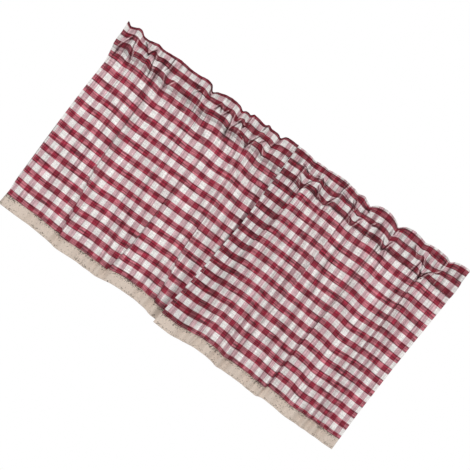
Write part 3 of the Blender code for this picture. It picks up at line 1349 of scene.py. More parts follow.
@dataclass
class LaceEdging:
    """The lace strip behind the hem: close-worked, with eyelets along its upper and lower edges."""

    cloth: CurtainCloth
    repeats: int = 46
    cells: int = 9
    tuck: float = 3.0 * MM
    behind_cloth: float = 1.0 * MM
    thickness: float = 0.8 * MM
    scallop: float = 0.3 * MM
    eyelet_depth: float = 0.5 * MM
    turned_end: float = 11.0 * MM
    rows: int = 20
    eyelets: tuple[float, ...] = (0.0, 0.0, 0.1, 0.34, 0.36, 0.30, 0.20, 0.10, 0.04, 0.02, 0.02,
                                  0.01, 0.02, 0.02, 0.02, 0.04, 0.09, 0.16, 0.20, 0.08)
    scallop_cells: float = 3.0
    worked_rates: Pair = (0.071, 0.19)
    worked_shares: Pair = (0.35, 1.1)
    shallowest: float = 0.7
    turned_end_shade: float = 0.30
    easing_reach: int = 15
    easing_spread: float = 6.0
    easing_in_depth: float = 0.6

    def placed_rows(self) -> list[np.ndarray]:
        """Place the strip's rows behind the hem, offset along the cloth's own normal."""
        drape = self.cloth.drape
        strand = CurtainCloth(drape, columns=self.repeats * self.cells)
        top = drape.hem + self.tuck
        depth = HEIGHTS.lace_depth + self.tuck
        weights = bell(self.easing_reach, self.easing_spread)
        rows = []
        for row in range(self.rows + 1):
            height = top - depth * row / self.rows
            course = strand.body_course(max(height, drape.hem))
            course.height = height
            points = strand.place(course)
            run = np.gradient(points[:, 0])
            rise = np.gradient(points[:, 1])
            length = np.hypot(run, rise)
            points[:, 0] -= self.behind_cloth * rise / length
            points[:, 1] += self.behind_cloth * run / length
            ease = smooth((drape.hem - height) / HEIGHTS.lace_depth)
            for axis, share in ((1, self.easing_in_depth * ease), (2, ease)):
                padded = np.pad(points[:, axis], self.easing_reach, mode="reflect", reflect_type="odd")
                points[:, axis] += share * (np.convolve(padded, weights, "valid") - points[:, axis])
            rows.append(points)
        return rows

    def build(self, material: bpy.types.Material) -> bpy.types.Object:
        """Build the lace strip.

        Args:
            material: The lace yarn.

        Returns:
            The lace's object.
        """
        drape = self.cloth.drape
        columns, rows = self.repeats * self.cells, self.rows
        depth = HEIGHTS.lace_depth + self.tuck
        placed = self.placed_rows()
        chance = random.Random(drape.name)
        bm = bmesh.new()
        bmesh.ops.create_grid(bm, x_segments=columns, y_segments=rows, size=1.0)
        hollow_and_shade = bm.verts.layers.float.new("hollow_and_shade")
        pitch = drape.flat_width / columns
        slow, quick = self.worked_rates
        fewest, more = self.worked_shares
        flat = {}
        for vert in bm.verts:
            column = round((vert.co.x + 1.0) * 0.5 * columns)
            row = round((1.0 - vert.co.y) * 0.5 * rows)
            flat[vert] = (column * pitch, -depth * row / rows)
            point = placed[row][column].copy()
            if row == rows:
                point[2] -= self.scallop * abs(math.sin(math.pi * column / self.scallop_cells))
            vert.co = point
            turn = slow * column + 3.0 * drape.wave_start + math.sin(quick * column)
            worked = 0.5 + 0.5 * math.sin(turn)
            # Eyelets sink into the yarn and get painted shade.
            if chance.random() < self.eyelets[min(row, rows - 1)] * (fewest + more * worked):
                vert[hollow_and_shade] = self.shallowest + (1.0 - self.shallowest) * chance.random()
                vert.co.y += self.eyelet_depth * vert[hollow_and_shade]
            # Painted shade on the left lace's turned end.
            if column * pitch < self.turned_end and drape.name == "left":
                vert[hollow_and_shade] = max(vert[hollow_and_shade], self.turned_end_shade)
        lay_flat(bm, flat)
        piece = link_mesh(f"{drape.name}_lace_edging", bm, material)
        thicken(piece, "yarn thickness", self.thickness)
        return piece


@dataclass
class Stitching:
    """The rows of machine stitches on one curtain."""

    cloth: CurtainCloth
    grid: ClothGrid
    length: float = 2.3 * MM
    pitch: float = 3.2 * MM
    width: float = 0.42 * MM
    lift: float = 0.45 * MM
    hem_line: float = 2.2 * MM
    margin: float = 3.0 * MM

    def unit_stitch(self) -> bpy.types.Mesh:
        """Return one stitch's mesh: a long bead along X."""
        bm = bmesh.new()
        size = Matrix.Diagonal((self.length, self.width, self.width, 1.0))
        bmesh.ops.create_uvsphere(bm, u_segments=6, v_segments=5, radius=0.5, matrix=size)
        mesh = bpy.data.meshes.new("stitch")
        bm.to_mesh(mesh)
        bm.free()
        return mesh

    def stitch(self, bm: bmesh.types.BMesh, bead: bpy.types.Mesh, across: float, along: float,
               upright: bool) -> None:
        """Add one stitch.

        Args:
            bm: The bmesh that holds the stitches.
            bead: One stitch's mesh.
            across: Its place across the flat cloth.
            along: Its place up the flat cloth.
            upright: True for a stitch that runs up the cloth.
        """
        point, normal, weft, warp = self.grid.at(across, along)
        run = warp if upright else weft
        side = normal.cross(run).normalized()
        run = side.cross(normal).normalized()
        turn = Matrix((run, side, normal)).transposed().to_4x4()
        placed = bead.copy()
        placed.transform(Matrix.Translation(point + normal * self.lift) @ turn)
        bm.from_mesh(placed)
        bpy.data.meshes.remove(placed)

    def build(self, material: bpy.types.Material) -> bpy.types.Object:
        """Build the rows: two across the heading, one along the hem and one up each side hem.

        Args:
            material: The thread.

        Returns:
            The stitches' object.
        """
        drape = self.cloth.drape
        bm = bmesh.new()
        body = drape.thread_along(drape.lower_stitch)
        pocket = float(self.grid.along_cloth[self.cloth.body_rows + self.cloth.pocket_rows])
        count = int((drape.flat_width - 2.0 * self.margin) / self.pitch)
        bead = self.unit_stitch()
        for along in (self.hem_line, body, pocket):
            for index in range(count):
                self.stitch(bm, bead, self.margin + index * self.pitch, along, False)
        count = int((body - 2.0 * self.margin) / self.pitch)
        for across in (self.cloth.side_hem, drape.flat_width - self.cloth.side_hem):
            for index in range(count):
                self.stitch(bm, bead, across, 2.0 * self.margin + index * self.pitch, True)
        bpy.data.meshes.remove(bead)
        return link_mesh(f"{drape.name}_stitching", bm, material)


@dataclass
class Curtain:
    """One finished curtain: its cloth, lace edging and stitching."""

    drape: Drape

    def build(self, gingham: bpy.types.Material, lace: bpy.types.Material,
              thread: bpy.types.Material) -> list[bpy.types.Object]:
        """Args:
            gingham: The cloth's material.
            lace: The lace's material.
            thread: The stitches' material.

        Returns:
            The panel, the heading, the lace and the stitching.
        """
        name = self.drape.name
        cloth = CurtainCloth(self.drape)
        grid = cloth.grid()
        panel = cloth.build(grid, gingham, "panel", range(cloth.body_rows + 1))
        heading = cloth.build(grid, gingham, "heading", range(cloth.body_rows, len(grid.points)))
        edging = LaceEdging(cloth).build(lace)
        stitches = Stitching(cloth, grid).build(thread)
        for piece, slot in ((panel, "gingham"), (heading, "gingham"), (edging, "lace"),
                            (stitches, "gingham")):
            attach(piece, BODY)
        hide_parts(f"{name}_panel")
        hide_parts(f"{name}_heading")
        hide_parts(f"{name}_lace")
        return [panel, heading, edging, stitches]


@dataclass(frozen=True)
class Studio:
    """The camera at the photograph's angle, the soft lights, the white surround and a pale floor."""

    view_width: float = 0.9358
    aim: Pair = (0.001, -0.1712)
    distance: float = 3.2
    roll: float = 36.3
    sensor: float = 36.0
    floor_height: float = -1.05
    floor_radius: float = 0.95
    surround: Pair = (0.60, 1.0)
    lights: tuple[tuple[str, Triple, float, float], ...] = (
        ("key_light", (-0.8, -2.7, 1.3), 0.6, 54.0),
        ("fill_light", (1.9, -2.2, 0.1), 1.6, 14.0),
        ("back_light", (0.6, 2.2, 1.4), 1.4, 26.0))

    def add_camera(self) -> None:
        """Set the camera in front of the curtains, rolled as the photograph is."""
        data = bpy.data.cameras.new("studio_camera")
        data.sensor_width = self.sensor
        data.lens = self.sensor * self.distance / self.view_width
        camera = bpy.data.objects.new("studio_camera", data)
        bpy.context.scene.collection.objects.link(camera)
        upright = Matrix.Rotation(math.radians(90.0), 4, "X")
        rolled = Matrix.Rotation(math.radians(self.roll), 4, "Z")
        place = Matrix.Translation((self.aim[0], -self.distance, self.aim[1]))
        camera.matrix_world = place @ upright @ rolled
        bpy.context.scene.camera = camera

    def add_light(self, name: str, place: Triple, size: float, power: float) -> None:
        """Add one soft square light that faces the curtains.

        Args:
            name: The light's name.
            place: Where it stands.
            size: The length of its side.
            power: Its power in watts.
        """
        data = bpy.data.lights.new(name, "AREA")
        data.size = size
        data.energy = power
        light = bpy.data.objects.new(name, data)
        bpy.context.scene.collection.objects.link(light)
        light.location = place
        toward = Vector((self.aim[0], 0.0, self.aim[1])) - Vector(place)
        light.rotation_mode = "QUATERNION"
        light.rotation_quaternion = toward.to_track_quat("-Z", "Y")

    def add_surround(self) -> None:
        """Surround the curtains with white, softer as a light than it looks to the camera."""
        world = bpy.data.worlds.new("studio_surround")
        bpy.context.scene.world = world
        world.use_nodes = True
        nodes, links = world.node_tree.nodes, world.node_tree.links
        background = nodes["Background"]
        background.inputs["Color"].default_value = (1.0, 1.0, 1.0, 1.0)
        seen = nodes.new("ShaderNodeLightPath")
        strength = nodes.new("ShaderNodeMapRange")
        for end, level in zip(("To Min", "To Max"), self.surround):
            strength.inputs[end].default_value = level
        links.new(seen.outputs["Is Camera Ray"], strength.inputs["Value"])
        links.new(strength.outputs["Result"], background.inputs["Strength"])

    def add_floor(self) -> None:
        """Lay a round pale floor well below the hems."""
        bm = bmesh.new()
        bmesh.ops.create_circle(bm, cap_ends=True, segments=96, radius=self.floor_radius)
        bmesh.ops.translate(bm, verts=bm.verts, vec=(0.0, 0.0, self.floor_height))
        floor = link_mesh("studio_floor", bm, FloorFinish().build())

    def build(self) -> None:
        """Set up the whole studio."""
        self.add_camera()
        for name, place, size, power in self.lights:
            self.add_light(name, place, size, power)
        self.add_surround()
        self.add_floor()
        bpy.context.scene.view_settings.view_transform = "Standard"


LEFT = Drape(
    name="left",
    flat_width=0.552,
    lower_stitch=-12.0 * MM,
    hem=-372.9 * MM,
    left_edge=table(EdgePoint,
        (45, -421.6), (-6, -418.6), (-48, -412.5), (-112, -415), (-219, -416.5), (-338, -416),
        (-364, -414), (-398, -417)),
    right_edge=table(EdgePoint,
        (45, -2.4), (-30, -2.4), (-45, 6), (-60, 24), (-80, 42), (-115, 48), (-250, 42), (-372, 35),
        (-398, 33)),
    edge_depths=(2.0, 4.0),
    folds=table(FoldLine,
        (-392, -390, -5), (-367, -362, -3), (-345, -342, 7), (-331, -318, -4), (-314, -294, -6),
        (-303, -280, 6), (-290, -264, -6), (-262, -244, -5), (-238, -220, 7), (-224, -204, -3),
        (-205, -189, 6), (-184, -179, -4), (-149, -163, 8), (-139, -152, -7), (-112, -122, -3),
        (-98, -98, -4.5), (-82, -83, 7), (-70, -67, -5), (-60, -53, 7), (-47, -42, -5),
        (-24, -25, 6), (-12, -14, -4.5), (1, -3, 6.5), (14, 7, -4.5), (26, 17, 6.5), (37, 26, -4)),
    columns=table(ColumnPlace,
        (-402, -400, -405, -411), (-375, -374, -380, -386), (-360, -361, -358, -358),
        (-342, -339, -337, -335), (-316, -313, -313, -311), (-290, -283, -285, -286),
        (-264, -261, -260, -263), (-240, -238, -240, -237), (-222, -217, -215, -210),
        (-205, -203, -196, -188), (-182, -177, -173, -166), (-157, -149, -147, -142),
        (-133, -123, -121, -118), (-108, -99, -95, -93), (-86, -80, -71, -70), (-62, -60, -50, -48),
        (-38, -35, -24, -22), (-17, -9, 0, 3), (-3.5, 0.5, 20, 20, -0.26)),
    row_marks=table(RowMark,
        (-372.9, 0), (-339.3, 33.05), (-25, 346), (0, 374.45), (23.4, 402.9), (45, 430.9)),
    row_levels=(-25.0, -81.0, -138.5, -196.0, -253.3, -310.4, -339.3, -372.9),
    row_places=table(RowPlace,
        (-416, (-25.5, -81, -138.5, -196, -253.5, -310, -338.5, -373.4)),
        (-405, (-25.5, -81.5, -139, -196.5, -254, -310.5, -339, -373.4)),
        (-395, (-24.3, -82, -140, -197, -254.5, -311, -340, -373.4)),
        (-385, (-25.3, -83, -140.5, -197.5, -254.5, -311.5, -340.5, -373.4)),
        (-377, (-26.8, -83, -140.5, -197.5, -255, -312, -340.8, -373.5)),
        (-365, (-24.6, -82, -139.5, -197, -255, -312.5, -341, -373.6)),
        (-345, (-24.8, -82, -140, -198, -255.5, -312, -341, -373.8)),
        (-325, (-26.5, -84.5, -141.5, -198.5, -255.5, -312, -340.2, -374)),
        (-312, (-27, -85, -143, -198.8, -256, -312, -340.5, -374.4)),
        (-295, (-30.2, -87, -145, -201.5, -259.5, -312.5, -341, -375.6)),
        (-280, (-31.6, -88, -145, -202, -260, -318, -346.5, -379.6)),
        (-265, (-29.5, -86.5, -144.5, -202, -260, -316.5, -345, -379)),
        (-245, (-30, -86.5, -144.5, -201.5, -258.5, -315, -343.5, -377.4)),
        (-226, (-29.6, -86.5, -144, -201, -258, -315, -343, -376.8)),
        (-206, (-28.8, -86, -144, -201, -258.5, -314.5, -343, -376.8)),
        (-190, (-31.8, -86.8, -143.5, -201, -258.8, -315.5, -343.5, -376.9)),
        (-176, (-30.6, -87, -143.5, -201, -258.5, -316, -344.8, -376.7)),
        (-160, (-28, -85.5, -143, -200.5, -258.5, -315, -343.5, -374.5)),
        (-140, (-28.5, -85, -143, -198.5, -255, -311, -339, -370.2)),
        (-126, (-29, -86.5, -143.5, -198.5, -254.5, -309.5, -337.5, -369.2)),
        (-106, (-29.4, -87, -143, -199, -254, -309, -336.7, -368.4)),
        (-86, (-27.7, -84.5, -141.5, -197, -253, -309, -336.5, -368.3)),
        (-74, (-27.2, -84, -141, -197, -253.2, -309, -337, -369.2)),
        (-50, (-32.8, -86.5, -142.5, -199, -256.5, -313.5, -341.7, -374)),
        (-35, (-32.2, -88, -144, -199.3, -256.5, -313.5, -342, -375.4)),
        (-5, (-31.3, -87.5, -144, -199.5, -256.5, -313.8, -342.2, -376)),
        (60, (-31, -87.5, -144, -199.5, -256.5, -314, -342.4, -376))),
    steps=(
        table(StepPoint,
            (-307, -60, 0), (-306, -100, 1.5), (-305.5, -138.5, 2), (-303, -196, 3),
            (-302, -225, 4), (-298.5, -253.3, 4), (-293.5, -282, 4.5), (-289.5, -310.4, 5),
            (-286, -339.3, 5.5), (-282, -373, 3.5)),
        table(StepPoint,
            (-151.5, -150, 0), (-151, -196, -2.2), (-151, -225, -2.6), (-151.5, -253.3, -4),
            (-152, -282, -4.5), (-154, -310.4, -5), (-158, -339.3, -5), (-164, -373, -4.5)),
        table(StepPoint,
            (-68, -180, 0), (-67.5, -205, 2), (-67, -225, 2.5), (-66, -253.3, 3), (-61.5, -282, 4),
            (-57, -310.4, 4.5), (-54.5, -339.3, 5), (-51, -373, 3.5)),
    ),
    heading=(
        WovenLine(45, table(LinePoint,
            (-420, 46.3), (-415, 42), (-411, 40.2), (-405, 43), (-398, 46.8), (-393, 48.2),
            (-388, 47.8), (-383, 44.2), (-380, 41), (-370, 39.6), (-362, 40.4), (-352, 43.4),
            (-346, 45.4), (-341, 44.2), (-335, 42.6), (-325, 42), (-312, 43.6), (-300, 44.8),
            (-291, 45.6), (-280, 44.4), (-265, 43), (-255, 42.6), (-245, 43), (-235, 44.8),
            (-225, 46), (-218, 45), (-213, 44), (-210, 41), (-207, 36), (-204, 31.2), (-198, 34),
            (-195, 37.6), (-185, 40.4), (-175, 43.6), (-165, 44.6), (-150, 43.8), (-142, 42.4),
            (-137, 39.4), (-133, 36.4), (-131, 36.6), (-128, 40.2), (-122, 41.4), (-117, 39.8),
            (-113, 38.4), (-111, 44.6), (-107, 44.4), (-95, 43.4), (-85, 41), (-79, 40.2),
            (-76, 43), (-74, 45.8), (-70, 44.6), (-65, 41.8), (-50, 42.2), (-45, 40.4), (-40, 36.8),
            (-37, 39.4), (-34, 45), (-28, 46.8), (-15, 47.4), (-2, 47.2))),
        WovenLine(23.4, table(LinePoint,
            (-420, 22), (-408, 22.5), (-402, 24), (-396, 27), (-388, 27), (-381, 26), (-375, 23.4),
            (-365, 23.4), (-358, 21), (-350, 19.6), (-345, 24.6), (-341, 26.6), (-337, 23.4),
            (-332, 21), (-325, 23.4), (-318, 24.7), (-310, 23.4), (-302, 22.2), (-290, 21),
            (-270, 22), (-252, 21.6), (-235, 21.8), (-222, 23), (-215, 21.5), (-208, 19.6),
            (-188, 19.6), (-180, 20.9), (-175, 22), (-170, 19.8), (-160, 19.2), (-153, 21.5),
            (-148, 22.5), (-143, 21.4), (-138, 17.7), (-132, 15.8), (-127, 17.8), (-122, 21.8),
            (-118, 20.6), (-114, 14.8), (-110, 19), (-105, 19.6), (-88, 17.9), (-80, 19),
            (-73, 20.9), (-66, 19.8), (-57, 20.7), (-50, 19), (-45, 16.6), (-40, 17.9), (-30, 20.9),
            (-15, 22.4), (-2, 22))),
        WovenLine(0, table(LinePoint,
            (-418, -2), (-410, -1.5), (-404, 0), (-398, 3), (-391, 5.5), (-386, 3.6), (-382, 0),
            (-377, -1.6), (-372, 1), (-365, 3), (-358, 3.9), (-354, 2), (-349, 1.8), (-345, 3.9),
            (-341, 3.5), (-337, 1.5), (-333, -1.5), (-328, -2.9), (-322, -0.2), (-303, -0.2),
            (-296, -2.8), (-290, -5), (-285, -5), (-282, -2.6), (-276, -1), (-250, -2.1),
            (-222, -2.1), (-212, -3), (-200, -5.3), (-188, -5.3), (-182, -2.9), (-160, -0.3),
            (-153, -0.3), (-147, -1.8), (-142, -4), (-134, -6.1), (-127, -4), (-122, -2.2),
            (-112, -2.1), (-103, -4.8), (-95, -6), (-88, -8.2), (-84, -6), (-80, -1.7), (-72, -1.3),
            (-65, -0.3), (-60, -1.6), (-55, -4.8), (-50, -7.9), (-45, -7.9), (-40, -6), (-30, -5),
            (-2, -4.8))),
    ),
    creases=table(Crease,
        (((-394, 22), (-400, 10), (-407, -16)), 1.6, 2.6, -1),
        (((-388, 22), (-381, 2), (-374, -18)), 1.6, 3),
        (((-368, 35), (-359, 25), (-350, 15)), 1.9, 3.6),
        (((-342, 31), (-347, 22), (-350, 15)), 1.6, 2.8, -1),
        (((-341, 26), (-335, 14), (-328, -9)), 1.7, 3),
        (((-302, 42), (-302, 20), (-304, 9)), 1.4, 2.6),
        (((-296, 4), (-291, -6), (-288, -12)), 1.6, 2.4, -1),
        (((-278, 4), (-283, -5), (-287, -12)), 1.6, 2.2),
        (((-221, 20.5), (-230, 12)), 1.6, 2.6, -1),
        (((-221, 20.5), (-215, 10), (-213, -2), (-212.5, -60), (-213, -90)), 1.5, 1.9),
        (((-211, 42), (-205, 28)), 1.8, 2.6, -1), (((-173, 22), (-180, 7)), 1.5, 2.4, -1),
        (((-172, 21), (-165, 7)), 1.5, 2.2), (((-152, 22), (-159, 6)), 1.5, 2.6, -1),
        (((-144, 22), (-138, 6), (-136, -14), (-132, -30)), 1.7, 3),
        (((-122, 22), (-129, 3), (-131, -8)), 1.6, 2.8, -1), (((-119, 22), (-114, 11)), 1.6, 3),
        (((-109, 22), (-114, 11)), 1.6, 2.8, -1), (((-110, 46), (-110.5, 24)), 1.5, 2.1),
        (((-106, -1), (-95, -4.5), (-87, -15)), 1.6, 3, -1), (((-82, -1), (-87, -15)), 1.6, 3.2),
        (((-74, 46), (-77, 30)), 1.6, 2.6), (((-75, 17), (-83, -1)), 1.6, 2.8, -1),
        (((-61, 16), (-69, 4)), 1.5, 2.4, -1), (((-63, 4), (-56, -4), (-51, -10)), 1.6, 2.6),
        (((-37, 42), (-41, 24), (-46, 12)), 1.7, 1.7, -1), (((-131, 38), (-134, 24)), 1.7, 2),
        (((-119.5, 16), (-119, -34)), 1.3, 1.3), (((-90, -2), (-88, -8), (-87, -15)), 1.8, 3.4),
        (((-346, 28), (-349, 22), (-351, 16)), 1.7, 3, -1),
        (((-204.5, 34), (-203.5, 26)), 1.8, 3.2), (((-114, 20), (-113.5, 12)), 1.8, 3.2),
        (((-406, -14), (-411, -48)), 2, 2.4), (((-374, -12), (-369, -40), (-368, -110)), 1.6, 2.2),
        (((-337, -14), (-335, -150), (-334, -300)), 1.6, 2, -1),
        (((-328, -4), (-326, -34)), 1.8, 2.6), (((-315.5, -4), (-314, -60)), 1.5, 2.4),
        (((-289, -10), (-286, -42)), 1.8, 2.4, -1),
        (((-306, -60), (-305.5, -138.5), (-303, -196), (-302, -225), (-298.5, -253.3),
          (-293.5, -282), (-289.5, -310.4), (-286, -339.3), (-281, -378)), 1.7, 3.2),
        (((-240, -60), (-238, -190)), 1.5, 1.8, -1),
        (((-205, -150), (-198, -240), (-190, -310), (-185, -378)), 1.6, 2.6),
        (((-197, -4), (-193, -50)), 1.7, 2.2),
        (((-151.5, -140), (-151, -225), (-152, -282), (-154, -310.4), (-158, -339.3),
          (-165, -378)), 1.6, 3.2),
        (((-122, -26), (-122, -110)), 1.5, 2), (((-87, -12), (-84, -60)), 1.6, 1.7),
        (((-80, -40), (-73, -200)), 1.5, 2, -1),
        (((-68, -170), (-67, -225), (-66, -253.3), (-61.5, -282), (-57, -310.4), (-54.5, -339.3),
          (-50.5, -378)), 1.6, 3.2),
        (((-59, -12), (-51, -44)), 1.6, 1.7), (((-254, -250), (-256, -330)), 1.5, 1.6),
        (((-362, -250), (-358, -378)), 1.6, 1.6), (((-393, -240), (-389, -378)), 1.6, 1.6, -1),
        (((-118, -290), (-114, -378)), 1.6, 1.6), (((-98, -60), (-95, -160)), 1.5, 1.4),
        (((-365, -100), (-364, -260)), 1.5, 1.8), (((-416.2, -205), (-416.8, -350)), 2.2, 5),
        (((-180, -40), (-176, -130)), 1.5, 1.6)),
    wave_start=0.4,
    rim_shade=0.8,
    turning_fall=11.0 * MM,
    parting=(-60.0, -12.0, 8.0),
    first_column=13.5 * MM,
    first_row=4.6 * MM,
)

